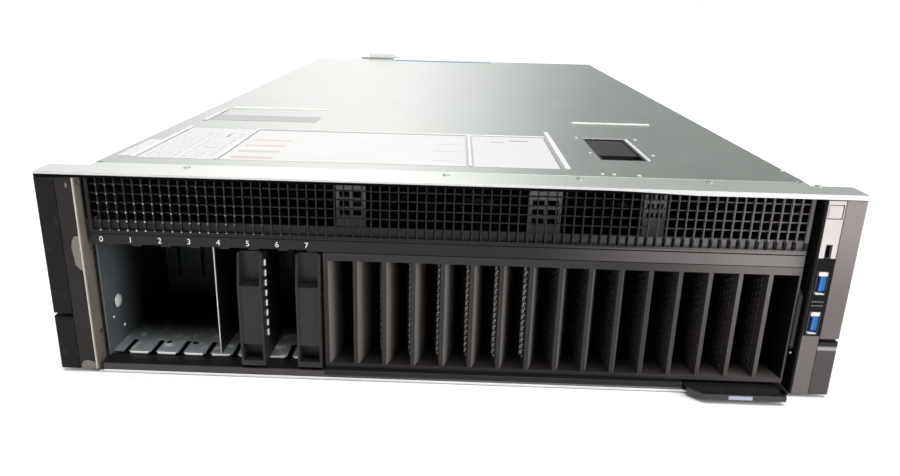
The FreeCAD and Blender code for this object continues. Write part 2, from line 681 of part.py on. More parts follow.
def drive_cage():
    """Steel cage around the drive slots: floor with slots, top plate and side walls."""
    x = (-CLEAR_HALF, CLEAR_HALF)
    y = (CAGE_FRONT, CAGE_REAR)
    slots = []
    for bay in range(OPEN_BAYS):
        slot_x = around(slot_centre(bay), FLOOR_SLOT_WIDTH)
        slots.append(rectangle(slot_x, span(CAGE_FRONT + FLOOR_SLOT_SETBACK, FLOOR_SLOT_LENGTH)))
    floor = extrusion("Z", rectangle(x, y), (BAY_FLOOR - CAGE_SHEET, BAY_FLOOR), slots)
    roof = block(x, y, span(BAY_TOP, CAGE_SHEET))
    wall = block((CLEAR_HALF - CAGE_SHEET, CLEAR_HALF), (FRONT + CAGE_WALL_SETBACK, CAGE_REAR),
                 (BAY_FLOOR - CAGE_SHEET, BAY_TOP + CAGE_SHEET))
    foot = block((CLEAR_HALF - CAGE_SHEET, CLEAR_HALF), y, (SHEET, BAY_FLOOR - CAGE_SHEET))
    return joined(floor, roof, wall, mirrored(wall), foot, mirrored(foot))


def cage_divider():
    """Thin steel wall between the fourth and the fifth slot."""
    x = -CLEAR_HALF + DIVIDER_INDEX * SLOT_PITCH
    return block(around(x, DIVIDER_SHEET), (CAGE_FRONT + FIT, CAGE_REAR), (BAY_FLOOR, BAY_TOP))


def drive_blank(bay):
    """Moulded blank: raised grip body between two recesses, hollow behind."""
    middle = slot_centre(bay) + BLANK_SHIFT
    x = around(middle, BLANK_WIDTH)
    z = (BAY_FLOOR + FIT, BAY_TOP - FIT)
    inside = around(middle, BLANK_WIDTH - 2 * BLANK_WALL)
    recess = (FRONT, FRONT + BLANK_RECESS_DEPTH)
    body = block(x, span(FRONT, BLANK_LENGTH), z)
    upper = block(inside, recess, (z[1] - BLANK_UPPER_RECESS, z[1]))
    lower = block(inside, recess, span(z[0] + BLANK_LIP, BLANK_LOWER_RECESS))
    front_inside = FRONT + BLANK_RECESS_DEPTH + BLANK_WALL
    hollow = block(inside, (front_inside, FRONT + BLANK_LENGTH), (z[0] + BLANK_WALL, z[1] - BLANK_WALL))
    chamfer = extrusion("X", [
        (FRONT, z[1]), (FRONT + BLANK_RECESS_DEPTH / 2, z[1]), (FRONT, z[1] - BLANK_UPPER_RECESS),
    ], x)
    return body.cut([upper, lower, hollow, chamfer])


def blank_springs(bay):
    """Row of earthing spring fingers on the right side of a blank."""
    deep, wide, tall = SPRING_SIZE
    x = span(slot_centre(bay) + BLANK_SHIFT + BLANK_WIDTH / 2, deep)
    y = span(FRONT + BLANK_RECESS_DEPTH, wide)
    levels = [SPRING_BOTTOM + SPRING_PITCH * i for i in range(SPRING_COUNT)]
    return Part.makeCompound([block(x, y, span(level, tall)) for level in levels])


def slot_filler():
    """One-piece filler over the remaining slots: slanted pockets between upright ribs."""
    x = (FILLER_X + FIT, CLEAR_HALF - CAGE_SHEET - FIT)
    z = (BAY_FLOOR + FIT, BAY_TOP - FIT)
    back = BEZEL_Y + FILLER_DEPTH
    flange = block((FILLER_X + FIT - FILLER_LAP, CLEAR_HALF), span(BEZEL_Y, FILLER_FLANGE),
                   (SILL_TOP + FIT, BAR_BOTTOM - FIT))
    body = block(x, (BEZEL_Y + FILLER_FLANGE, back), z)
    pocket_z = (z[0] + FILLER_BOTTOM_BAND, z[1] - FILLER_TOP_BAND)
    floor_y = back - FILLER_SKIN
    relief_y = BEZEL_Y + FILLER_FLANGE + 3 * FILLER_SKIN
    lean = POCKET_LEAN / (floor_y - BEZEL_Y)
    cuts = []
    for bay in range(OPEN_BAYS, SLOT_COUNT):
        left, right = around(slot_centre(bay), SLOT_PITCH - FILLER_RIB)
        deep_right = right - POCKET_LEAN
        deep_left = deep_right - POCKET_FLOOR_WIDTH
        pocket = [(left, BEZEL_Y), (right, BEZEL_Y), (deep_right, floor_y), (deep_left, floor_y)]
        cuts.append(extrusion("Z", pocket, pocket_z))
        slope = (deep_left - left) / (floor_y - BEZEL_Y)
        skin = FILLER_SKIN * math.sqrt(1 + slope ** 2)
        relief = []
        for y in (relief_y, back):
            side = max(left - FILLER_RIB - lean * (y - BEZEL_Y), x[0]) + FILLER_SKIN
            relief += [(side, y), (left + slope * (y - BEZEL_Y) - skin, y)]
        cuts.append(extrusion("Z", [relief[0], relief[1], relief[3], relief[2]], pocket_z))
    return joined(flange, body).cut(cuts)


def drive_backplane():
    """Circuit board behind the usable drive slots."""
    return block((-CLEAR_HALF, FILLER_X), span(BACKPLANE_Y, BACKPLANE_THICKNESS), (SHEET, BAY_TOP))


def drive_plugs():
    """One plug for each usable drive slot on the front of the backplane."""
    wide, deep, tall = PLUG_SIZE
    y = (BACKPLANE_Y - deep, BACKPLANE_Y)
    z = span(PLUG_BOTTOM, tall)
    return Part.makeCompound([block(around(slot_centre(i), wide), y, z) for i in range(OPEN_BAYS)])


def tag_guide():
    """Flat sleeve on the floor that the information tag slides in."""
    x = (TAG_X - FIT - TAG_WALL, CLEAR_HALF - CAGE_SHEET - FIT)
    inside = (TAG_X - FIT, TAG_X + TAG_WIDTH + FIT)
    outer_z = span(SHEET, 2 * TAG_WALL + 2 * FIT + TAG_THICKNESS)
    inside_z = (TAG_Z - FIT, TAG_Z + TAG_THICKNESS + FIT)
    y = (FRONT + TAG_GUIDE_SETBACK, FRONT + TAG_LENGTH)
    return block(x, y, outer_z).cut(block(inside, y, inside_z))


def info_tag():
    """Flat pull-out tag with a cut corner and a raised rim along its front edge."""
    left, right = span(TAG_X, TAG_WIDTH)
    front, back = span(FRONT - TAG_OUT, TAG_LENGTH)
    rim, height = TAG_RIM
    edge = [(right, front), (left + TAG_CORNER, front), (left, front + TAG_CORNER)]
    card = extrusion("Z", [*edge, (left, back), (right, back)], span(TAG_Z, TAG_THICKNESS))
    inner = [(left, front + TAG_CORNER + rim * math.sqrt(2)),
             (left + TAG_CORNER + rim * math.tan(math.pi / 8), front + rim), (right, front + rim)]
    return joined(card, extrusion("Z", edge + inner, span(TAG_Z, height)))


def fan_centre(index):
    """Place of a fan's axis across the chassis."""
    return -CLEAR_HALF + (index + 0.5) * FAN_PITCH


def fan_frame(index):
    """Frame of one fan: a duct, a strut across it and the shaft that carries the rotor."""
    middle = fan_centre(index)
    axis = (middle, FAN_AXIS_Z)
    outline = rectangle(around(middle, FAN_PITCH - 2 * FIT), span(SHEET, FAN_HEIGHT))
    duct = polygon(axis, FAN_DUCT_RADIUS, FAN_DUCT_SIDES)
    frame = extrusion("Y", outline, (FAN_FRONT, FAN_REAR), [duct])
    flat = FAN_DUCT_RADIUS * math.cos(math.pi / FAN_DUCT_SIDES)
    strut = block(around(middle, FAN_STRUT), (FAN_REAR - FAN_INSET, FAN_REAR), around(FAN_AXIS_Z, 2 * flat))
    shaft = extrusion("Y", polygon(axis, FAN_SHAFT_RADIUS, ROUND_SIDES),
                      (FAN_FRONT + FAN_INSET, FAN_REAR - FAN_INSET))
    return joined(frame, strut, shaft)


def fan_frames():
    """Frames of the row of fans, standing on the chassis floor."""
    return Part.makeCompound([fan_frame(i) for i in range(FAN_COUNT)])


def fan_rotor(index):
    """Rotor of one fan: a hub with pitched blades, turning on the frame's shaft."""
    axis = (fan_centre(index), FAN_AXIS_Z)
    hub_y = span(FAN_FRONT + FAN_INSET, FAN_HUB_DEPTH)
    sides = 2 * FAN_BLADES
    hub = extrusion("Y", polygon(axis, FAN_HUB_RADIUS, sides), hub_y)
    root = FAN_HUB_RADIUS * math.cos(math.pi / sides) - FAN_BLADE_THICKNESS
    tip = FAN_DUCT_RADIUS * math.cos(math.pi / FAN_DUCT_SIDES) - FAN_TIP_GAP
    reach = math.sqrt(tip ** 2 - (FAN_BLADE_CHORD / 2) ** 2)
    blades = []
    for i in range(FAN_BLADES):
        blade = block(around(0, FAN_BLADE_THICKNESS), around(0, FAN_BLADE_CHORD), (root, reach))
        blade.rotate(FreeCAD.Vector(0, 0, 0), FreeCAD.Vector(0, 0, 1), FAN_BLADE_PITCH)
        blade.rotate(FreeCAD.Vector(0, 0, 0), FreeCAD.Vector(0, 1, 0), 360 * i / FAN_BLADES)
        blade.translate(FreeCAD.Vector(axis[0], sum(hub_y) / 2, axis[1]))
        blades.append(blade)
    return joined(hub, *blades).cut(rod("Y", FAN_SHAFT_RADIUS + HINGE_CLEARANCE, axis, hub_y))


def system_board():
    """Main circuit board, cut back around the power supplies."""
    edge = CLEAR_HALF - BOARD_EDGE
    outline = [
        (-edge, BOARD_FRONT), (edge, BOARD_FRONT), (edge, REAR - SHEET - FIT),
        (PSU_WALL_X + CAGE_SHEET + FIT, REAR - SHEET - FIT),
        (PSU_WALL_X + CAGE_SHEET + FIT, PSU_FRONT - 3 * POWER_BOARD_GAP),
        (-edge, PSU_FRONT - 3 * POWER_BOARD_GAP),
    ]
    return extrusion("Z", outline, span(BOARD_HEIGHT, BOARD_THICKNESS))


def processor_board():
    """Second circuit board with the upper pair of processors."""
    edge = CLEAR_HALF - BOARD_EDGE
    return block((-edge, edge), span(BOARD_FRONT, UPPER_BOARD_LENGTH),
                 span(UPPER_BOARD_HEIGHT, BOARD_THICKNESS))


def board_posts():
    """Hexagonal posts under the two boards."""
    edge = CLEAR_HALF - BOARD_EDGE - 2 * POST_RADIUS
    places = [(x, BOARD_FRONT + y) for x in (-edge, edge)
              for y in (2 * POST_RADIUS, UPPER_BOARD_LENGTH - 2 * POST_RADIUS)]
    posts = []
    for place in places:
        outline = polygon(place, POST_RADIUS, POST_SIDES)
        posts.append(extrusion("Z", outline, (SHEET, BOARD_HEIGHT)))
        posts.append(extrusion("Z", outline, (BOARD_TOP, UPPER_BOARD_HEIGHT)))
    return Part.makeCompound(posts)


def cooler(middle, level):
    """Finned processor cooler standing on a board."""
    wide, long, tall = COOLER_SIZE
    left = middle - wide / 2
    step = (wide - COOLER_FIN) / (COOLER_FINS - 1)
    base = level + COOLER_BASE
    section = [(left, level)]
    for i in range(COOLER_FINS):
        fin = left + i * step
        top = [(fin, level + tall), (fin + COOLER_FIN, level + tall)]
        section += [(fin, base), *top, (fin + COOLER_FIN, base)] if i else [*top, (fin + COOLER_FIN, base)]
    section = section[:-1] + [(left + wide, level)]
    return extrusion("Y", section, span(BOARD_FRONT + COOLER_START, long))


def processor_coolers():
    """The pair of coolers on each board."""
    levels = (BOARD_TOP, UPPER_BOARD_HEIGHT + BOARD_THICKNESS)
    return Part.makeCompound([cooler(x, level) for level in levels for x in (-COOLER_X, COOLER_X)])


def memory_modules():
    """Memory modules on both sides of each processor on both boards."""
    wide, long, tall = MEMORY_SIZE
    y = span(BOARD_FRONT + COOLER_START - (long - COOLER_SIZE[1]) / 2, long)
    modules = []
    for level in (BOARD_TOP, UPPER_BOARD_HEIGHT + BOARD_THICKNESS):
        for cpu in (-COOLER_X, COOLER_X):
            for side in (-1, 1):
                for i in range(MEMORY_PER_SIDE):
                    away = COOLER_SIZE[0] / 2 + MEMORY_GAP + i * MEMORY_PITCH
                    modules.append(block(around(cpu + side * away, wide), y, span(level, tall)))
    return Part.makeCompound(modules)


def air_shroud():
    """Plastic channel that leads the air over both boards."""
    edge = CLEAR_HALF - FIT
    inner = edge - SHEET
    height = SHROUD_HEIGHT + SHEET
    section = both_sides([(inner, SHROUD_HEIGHT), (inner, SHEET), (edge, SHEET), (edge, height)])
    return extrusion("Y", section, (BOARD_FRONT - FIT, BOARD_FRONT + UPPER_BOARD_LENGTH + 2 * FIT))


def psu_bay():
    """Sheet that parts the two power supplies from each other and from the boards."""
    y = (PSU_FRONT, REAR - SHEET)
    wall = block(span(PSU_WALL_X, CAGE_SHEET), y, (SHEET, SHEET + 2 * PSU_STEP))
    shelves = []
    for level in PSU_LEVELS:
        shelves.append(block((-CLEAR_HALF, PSU_WALL_X), y, span(level + PSU_HEIGHT + FIT, CAGE_SHEET)))
    return joined(wall, *shelves)


def psu_latch_place(level):
    """Corner of the pocket for the release latch of a supply."""
    return (PSU_X + PSU_WIDTH - PSU_LATCH_POCKET[0], REAR - PSU_LATCH_POCKET[1],
            level + (PSU_HEIGHT - PSU_LATCH_POCKET[2]) / 2)


def psu_case(level):
    """Case of a power supply with its mains inlet and the pocket for its latch."""
    case = block(span(PSU_X, PSU_WIDTH), (PSU_FRONT, REAR), span(level, PSU_HEIGHT))
    wide, tall, deep = PSU_INLET
    inlet = block(span(PSU_X + PSU_INLET_X - wide / 2, wide), (REAR - deep, REAR),
                  span(level + PSU_INLET_Z, tall))
    x, y, z = psu_latch_place(level)
    pocket = block(span(x, PSU_LATCH_POCKET[0]), span(y, PSU_LATCH_POCKET[1]), span(z, PSU_LATCH_POCKET[2]))
    return case.cut([inlet, pocket])


def psu_latch(level):
    """Release tab of a power supply, pressed sideways in its pocket."""
    x, y, z = psu_latch_place(level)
    wide, deep, tall = PSU_LATCH_POCKET
    right = x + wide - FIT
    tab_z = (z + FIT, z + tall - FIT)
    arm = block((right - PSU_LATCH_WIDTH, right), (y + FIT, REAR + PSU_LATCH_REACH), tab_z)
    thumb = block((right - 2 * PSU_LATCH_WIDTH, right - PSU_LATCH_WIDTH),
                  (REAR + PSU_LATCH_REACH - PSU_LATCH_WIDTH, REAR + PSU_LATCH_REACH), tab_z)
    return joined(arm, thumb)


def psu_handle(level):
    """Looped pull handle on the rear of a power supply."""
    wide, reach, bar = PSU_HANDLE
    x = around(PSU_X + PSU_HANDLE_X - PSU_HANDLE[0] / 2, wide)
    z = span(level + PSU_HANDLE_Z, PSU_HANDLE_HEIGHT)
    loop = block(x, span(REAR, reach), z)
    gap = block((x[0] + bar, x[1] - bar), (REAR, REAR + reach - bar), z)
    return loop.cut(gap)


def power_board():
    """Upright board with a socket for each power supply."""
    back = PSU_FRONT - FIT
    front = back - POWER_BOARD_GAP
    board = block((PSU_X, PSU_X + PSU_WIDTH), span(front, BOARD_THICKNESS), (SHEET, SHEET + 2 * PSU_STEP))
    sockets = []
    for level in PSU_LEVELS:
        sockets.append(block(around(PSU_X + PSU_WIDTH / 2, POWER_SOCKET[0]), (front + BOARD_THICKNESS, back),
                             around(level + PSU_HEIGHT / 2, POWER_SOCKET[1])))
    return joined(board, *sockets)


def card_centre(index):
    """Middle of an expansion slot."""
    return CARD_START + (index + 0.5) * CARD_PITCH


def rear_panel():
    """Rear wall with openings for the supplies, expansion cards, ports and air."""
    holes = [rectangle((-CLEAR_HALF, PSU_WALL_X), (SHEET + FIT, SHEET + 2 * PSU_STEP))]
    for i in range(CARD_SLOTS):
        holes.append(rectangle(around(card_centre(i), CARD_OPENING[0]),
                               span(CARD_OPENING_BOTTOM, CARD_OPENING[1])))
    ports_x = (PORT_BLOCK_X - FIT, PORT_BLOCK_X + PORT_COUNT * PORT_PITCH + VIDEO_PORT[0] + 3 * FIT)
    holes.append(rectangle(ports_x, (BOARD_TOP - FIT, BOARD_TOP + PORT_BLOCK[0] + FIT)))
    for row in range(VENT_ROWS):
        holes.append(rectangle(span(PORT_BLOCK_X, VENT_SIZE[0]),
                               span(VENT_BOTTOM + row * VENT_PITCH, VENT_SIZE[1])))
    outline = rectangle((-LEDGE_X, LEDGE_X), (0, LEDGE_Z))
    return extrusion("Y", outline, (REAR - SHEET, REAR), holes)


def card_covers():
    """Sheet covers over the empty expansion slots."""
    wide, tall, thick = CARD_COVER
    z = span(CARD_COVER_BOTTOM, tall)
    y = span(REAR - SHEET - thick, thick)
    return Part.makeCompound([block(around(card_centre(i), wide), y, z) for i in range(CARD_SLOTS)])


def card_retainer():
    """Coloured bar that holds down the heads of the expansion cards."""
    x = (CARD_START - RETAINER_OVERHANG, CARD_END + RETAINER_OVERHANG)
    bar = block(x, (REAR - SHEET - RETAINER_DEPTH, REAR - SHEET),
                (CARD_COVER_BOTTOM + CARD_COVER[1] + FIT, TOP + RETAINER_RISE))
    head = block(x, (REAR - SHEET, REAR), (LEDGE_Z, TOP + RETAINER_RISE))
    return joined(bar, head)


def network_block():
    """Block of network ports standing on the main board."""
    end = PORT_BLOCK_X + PORT_COUNT * PORT_PITCH
    shell = block((PORT_BLOCK_X, end), (REAR - PORT_BLOCK[1], REAR + FIT), span(BOARD_TOP, PORT_BLOCK[0]))
    wide, tall, deep = PORT_SIZE
    cavities = []
    for i in range(PORT_COUNT):
        centre = PORT_BLOCK_X + (i + 0.5) * PORT_PITCH
        cavities.append(block(around(centre, wide), (REAR + FIT - deep, REAR + FIT),
                              around(BOARD_TOP + PORT_BLOCK[0] / 2, tall)))
    return shell.cut(cavities)


def video_block():
    """Video port with a slanted shell beside the network ports."""
    wide, tall, nose = VIDEO_PORT
    start = PORT_BLOCK_X + PORT_COUNT * PORT_PITCH + 2 * FIT
    base = block(span(start, wide), (REAR - PORT_BLOCK[1], REAR - SHEET - FIT),
                 span(BOARD_TOP, PORT_BLOCK[0]))
    middle = start + wide / 2
    z = around(BOARD_TOP + PORT_BLOCK[0] / 2, tall)
    shell = [(middle - wide / 4, z[0]), (middle + wide / 4, z[0]),
             (middle + wide / 3.4, z[1]), (middle - wide / 3.4, z[1])]
    return joined(base, extrusion("Y", shell, span(REAR - SHEET - FIT, nose)))


def rear_ports():
    """Port blocks that show through the rear wall."""
    return Part.makeCompound([network_block(), video_block()])


def rear_handle():
    """Lifting handle on the rear wall above the power supplies."""
    low = HANDLE_TOP - HANDLE_GRIP_HEIGHT
    strap_z = span(low, HANDLE_HEIGHT)
    left = block(span(HANDLE_X[0], HANDLE_STRAP), span(REAR, HANDLE_REACH), strap_z)
    right = block((HANDLE_X[1] - HANDLE_STRAP, HANDLE_X[1]), span(REAR, HANDLE_REACH), strap_z)
    grip = block(HANDLE_X, (REAR + HANDLE_REACH - HANDLE_STRAP, REAR + HANDLE_REACH), (low, HANDLE_TOP))
    return joined(left, right, grip)


def rail_studs():
    """Headed studs on both side walls that drop into the rack slides."""
    studs = []
    for y in STUD_PLACES:
        place = (y, STUD_HEIGHT)
        shank = extrusion("X", polygon(place, STUD_RADIUS, ROUND_SIDES), span(HALF, STUD_LENGTH))
        head = extrusion("X", polygon(place, STUD_HEAD_RADIUS, ROUND_SIDES),
                         span(HALF + STUD_LENGTH, STUD_HEAD))
        stud = joined(shank, head)
        studs += [stud, mirrored(stud)]
    return Part.makeCompound(studs)


def pieces():
    """Every piece of the appliance by name."""
    made = {
        "chassis_base": chassis_base(),
        "front_hood": front_hood(),
        "top_cover": top_cover(),
        "cover_latch_tray": cover_latch_tray(),
        "cover_latch_lever": cover_latch_lever(),
        "cover_latch_pin": cover_latch_pin(),
        "cover_lock": cover_lock(),
        "rack_latch_pins": rack_latch_pins(),
        "left_ear_trim": mirrored(ear_trim()),
        "right_control_panel": control_panel(),
        "power_button": power_button(),
        "front_ports": front_ports(),
        "usb_tongues": usb_tongues(),
        "control_board": control_board(),
        "front_grille": front_grille(),
        "number_bar": number_bar(),
        "front_sill": front_sill(),
        "drive_cage": drive_cage(),
        "cage_divider": cage_divider(),
        "slot_filler": slot_filler(),
        "drive_backplane": drive_backplane(),
        "drive_plugs": drive_plugs(),
        "tag_guide": tag_guide(),
        "info_tag": info_tag(),
        "fan_frames": fan_frames(),
        "system_board": system_board(),
        "processor_board": processor_board(),
        "board_posts": board_posts(),
        "processor_coolers": processor_coolers(),
        "memory_modules": memory_modules(),
        "air_shroud": air_shroud(),
        "psu_bay": psu_bay(),
        "power_board": power_board(),
        "rear_panel": rear_panel(),
        "card_covers": card_covers(),
        "card_retainer": card_retainer(),
        "rear_ports": rear_ports(),
        "rear_handle": rear_handle(),
        "rail_studs": rail_studs(),
    }
    for name, make in (("ear_bracket", ear_bracket), ("ear_cover", ear_cover), ("latch_lever", latch_lever)):
        made["right_" + name] = make()
        made["left_" + name] = mirrored(make())
    for bay in BLANK_INDEXES:
        made[f"drive_blank_{bay}"] = drive_blank(bay)
        made[f"blank_springs_{bay}"] = blank_springs(bay)
    for index in range(FAN_COUNT):
        made[f"fan_rotor_{index + 1}"] = fan_rotor(index)
    for number, level in enumerate(PSU_LEVELS, 1):
        made[f"psu_{number}_case"] = psu_case(level)
        made[f"psu_{number}_handle"] = psu_handle(level)
        made[f"psu_{number}_latch"] = psu_latch(level)
    return made


os.makedirs("parts", exist_ok=True)
for node, shape in pieces().items():
    shape.exportStep(f"parts/{node}.step")
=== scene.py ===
# %% [markdown]
# # A three-unit rack server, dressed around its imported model
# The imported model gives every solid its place, so this lesson only adds looks. Each step says what
# a piece is on the real machine, how it could be made, and why one way was chosen. Sizes are written
# in millimetres and turned into metres by one helper.

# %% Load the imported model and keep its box
import json
import math

import bpy
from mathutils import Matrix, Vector


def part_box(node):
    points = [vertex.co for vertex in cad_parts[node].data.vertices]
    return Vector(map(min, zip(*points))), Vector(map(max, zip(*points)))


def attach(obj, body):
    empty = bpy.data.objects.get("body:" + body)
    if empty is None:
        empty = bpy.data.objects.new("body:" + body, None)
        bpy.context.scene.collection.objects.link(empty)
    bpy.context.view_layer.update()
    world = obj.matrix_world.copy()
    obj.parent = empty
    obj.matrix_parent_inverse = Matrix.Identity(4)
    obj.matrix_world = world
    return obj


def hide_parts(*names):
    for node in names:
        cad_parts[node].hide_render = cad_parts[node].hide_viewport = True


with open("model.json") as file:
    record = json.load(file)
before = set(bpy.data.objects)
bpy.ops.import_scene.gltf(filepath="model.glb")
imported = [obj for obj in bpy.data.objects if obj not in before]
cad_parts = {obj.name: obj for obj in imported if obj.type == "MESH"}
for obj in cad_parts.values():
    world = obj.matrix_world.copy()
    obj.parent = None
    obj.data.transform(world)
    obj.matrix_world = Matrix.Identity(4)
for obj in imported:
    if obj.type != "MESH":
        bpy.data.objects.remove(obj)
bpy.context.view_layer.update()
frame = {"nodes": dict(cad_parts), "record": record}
nodes = frame["nodes"]
record = frame["record"]
slot_of = {part["node"]: part["material_slot"] for part in record["subparts"]}
body_of = {
    node: body for body, members in record["behaviour"]["bodies"].items() for node in members}

# %% [markdown]
# ## The camera
# The photo was taken close to the front, from above, so near edges look much larger than far ones.
# A camera can be placed by eye, but here its place, turn and focal length were worked out from the
# corners of the rack ears and the cover, whose real sizes are known. The lens shift moves the picture
# a little, because the photo is cropped off centre.

# %% Camera
MM = 0.001
IMAGE_SIZE = (900, 476)
FOCAL_PIXELS = 724.42
OPTICAL_CENTRE = (434.905, 231.535)
CAMERA_PLACE = (4.32, -423.83, 233.36)
CAMERA_TURN = (71.817, -1.28, 1.801)
SENSOR = 36.0


def mm(*place):
    """A point in metres from millimetres."""
    return Vector(place) * MM


def turned(degrees):
    """A turn in radians from three angles in degrees."""
    return [math.radians(angle) for angle in degrees]


bpy.ops.object.camera_add(location=mm(*CAMERA_PLACE), rotation=turned(CAMERA_TURN))
camera = bpy.context.object
camera.data.sensor_width = SENSOR
camera.data.lens = FOCAL_PIXELS / IMAGE_SIZE[0] * SENSOR
camera.data.shift_x = (IMAGE_SIZE[0] / 2 - OPTICAL_CENTRE[0]) / IMAGE_SIZE[0]
camera.data.shift_y = (OPTICAL_CENTRE[1] - IMAGE_SIZE[1] / 2) / IMAGE_SIZE[0]
camera.data.clip_start = 0.01
bpy.context.scene.camera = camera
bpy.context.scene.view_settings.view_transform = "Standard"
print("lens:", round(camera.data.lens, 2), "mm")

# %% [markdown]
# ## Shader sums written as Python
# A material is a graph of nodes, and typing each node by hand is long. One small class wraps a socket:
# adding or multiplying two of them adds a Math node, and one method adds any other node. Material code
# then reads like arithmetic.

# %% A socket that can be added, multiplied and compared
class Shade:
    """A socket of a node tree; each operator on it adds a Math node."""

    def __init__(self, tree, socket=None, material=None):
        self.tree = tree
        self.socket = socket
        self.material = material

    def node(self, kind, settings=(), sockets=(), output=0):
        """Any other node: its settings are set first, then its sockets get values or links."""
        made = self.tree.nodes.new("ShaderNode" + kind)
        for name, value in dict(settings).items():
            setattr(made, name, value)
        for name, value in dict(sockets).items():
            if isinstance(value, Shade):
                self.tree.links.new(value.socket, made.inputs[name])
            else:
                made.inputs[name].default_value = value
        return Shade(self.tree, made.outputs[output] if made.outputs else None)

    def math(self, operation, *values):
        return self.node("Math", {"operation": operation}, enumerate(values))

    def __add__(self, other):
        return self.math("ADD", self, other)

    def __sub__(self, other):
        return self.math("SUBTRACT", self, other)

    def __rsub__(self, other):
        return self.math("SUBTRACT", other, self)

    def __mul__(self, other):
        return self.math("MULTIPLY", self, other)

    def __gt__(self, other):
        return self.math("GREATER_THAN", self, other)

    def __lt__(self, other):
        return self.math("LESS_THAN", self, other)

    def __abs__(self):
        return self.math("ABSOLUTE", self)

    __radd__ = __add__
    __rmul__ = __mul__


print("Shade is ready")

# %% [markdown]
# ## Places and colours for shaders
# A pattern needs a place to start from. Object coordinates are used because each piece keeps its place
# in its mesh, so a pattern stays put when the piece moves. Most colours of this machine are near grey,
# so a level and a slight warmth are enough to name one.

# %% Places and colours
def grey(level, warm=1.0, cool=1.0):
    """A near-grey colour, with its red and blue share."""
    return (level * warm, level, level * cool, 1.0)


def dimmed(colour, share, lift=0.0):
    """A colour with its channels scaled, and lifted where dust lies on it."""
    return [channel * share + lift for channel in colour[:3]] + [1.0]


def place_on(shade):
    return shade.node("TexCoord", output="Object")


def along(shade, vector, axis):
    """One coordinate of a place or a direction."""
    return shade.node("SeparateXYZ", (), {"Vector": vector}, axis)


def facing(shade, axis):
    """How far the surface looks along an axis, from -1 to 1."""
    return along(shade, shade.node("NewGeometry", output="Normal"), axis)


def stretched(shade, where, scale):
    """The same place with its axes scaled, for a pattern that runs one way."""
    return shade.node("Mapping", (), {"Vector": where, "Scale": scale})


print("places and colours are ready")

# %% [markdown]
# ## Small shader phrases
# Every finish uses the same few phrases: noise at some size, a soft threshold, a mix of two colours, a
# small bump. Written once as functions, they keep each finish down to a few lines.

# %% Shader phrases
def noise(shade, where, size, detail=3.0):
    """Noise whose blotches are about size millimetres wide."""
    return shade.node("TexNoise", (), {"Vector": where, "Scale": 1 / (size * MM), "Detail": detail})


def soft_step(shade, value, low, high, start=0.0, end=1.0):
    sockets = {"Value": value, "From Min": low, "From Max": high, "To Min": start, "To Max": end}
    return shade.node("MapRange", {"interpolation_type": "SMOOTHSTEP"}, sockets)


def mixed(shade, factor, first, second):
    return shade.node("Mix", {"data_type": "RGBA"}, {"Factor": factor, 6: first, 7: second}, 2)


def bumped(shade, height, depth, strength=0.5):
    """A normal from a height; depth is in millimetres."""
    return shade.node("Bump", (), {"Strength": strength, "Distance": depth * MM, "Height": height})


def finished_material(shade, **sockets):
    """Closes a tree with one shader; socket names are written with _ for a space."""
    named = {key.replace("_", " "): value for key, value in sockets.items()}
    shade.node("OutputMaterial", (), {"Surface": shade.node("BsdfPrincipled", (), named)})
    return shade.material


def new_shade(name):
    """An empty material tree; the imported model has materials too, so the name is only a hint."""
    material = bpy.data.materials.new(name + "_finish")
    material.use_nodes = True
    material.node_tree.nodes.clear()
    return Shade(material.node_tree, None, material)


print("shader phrases are ready")

# %% [markdown]
# ## The floor
# The machine stands on a pale floor. A plane far larger than the machine hides its own edges; it is
# set a hair lower than the feet, so that the two faces don't flicker.

# %% Floor
FLOOR_SIZE = 60.0
FLOOR_DROP = 0.5

bpy.ops.object.select_all(action="DESELECT")
bpy.ops.mesh.primitive_plane_add(size=FLOOR_SIZE, location=mm(0, 0, -FLOOR_DROP))
floor = bpy.context.object
floor.name = "studio_floor"
shade = new_shade("studio_floor")
speckle = noise(shade, place_on(shade), 40.0)
tone = mixed(shade, speckle, grey(0.88), grey(0.92))
floor.data.materials.append(finished_material(shade, Base_Color=tone, Roughness=0.9))
print("floor:", FLOOR_SIZE, "m wide")

# %% [markdown]
# ## The room
# The bright cover mirrors what is low behind it, so the room is bright behind and to the left and
# dimmer on the right: that gives the cover its white glare on one side and its grey-green tone on the
# other. A picture of a room could be wrapped round the scene, but a few soft steps between four tones
# put the glare exactly where it belongs.

# %% Room
ROOM_DIM = (0.29, 0.31, 0.295, 1.0)
ROOM_BRIGHT = (1.45, 1.45, 1.43, 1.0)
ROOM_FRONT = (0.08, 0.08, 0.08, 1.0)
HORIZON = (1.0, 1.0, 1.0, 1.0)
GLARE_RIGHT = (0.22, -0.12)
GLARE_LEFT = (-0.55, -0.1)
GLARE_LEFT_SHARE = 0.35
FRONT_FADE = (-0.15, 0.35)
HORIZON_BAND = (0.03, 0.015)

world = bpy.data.worlds.new("studio_room")
bpy.context.scene.world = world
world.use_nodes = True
world.node_tree.nodes.clear()
shade = Shade(world.node_tree)
axes = shade.node("TexCoord", output="Generated")
across, backward, upward = (along(shade, axes, axis) for axis in "XYZ")
glare = soft_step(shade, across, *GLARE_RIGHT)
glare = glare * soft_step(shade, across, *GLARE_LEFT, GLARE_LEFT_SHARE, 1.0)
back = mixed(shade, glare, ROOM_DIM, ROOM_BRIGHT)
room = mixed(shade, soft_step(shade, backward, *FRONT_FADE), ROOM_FRONT, back)
room = mixed(shade, soft_step(shade, abs(upward), *HORIZON_BAND), room, HORIZON)
background = shade.node("Background", (), {"Color": room, "Strength": 1.0})
shade.node("OutputWorld", (), {"Surface": background})
print("room nodes:", len(world.node_tree.nodes))
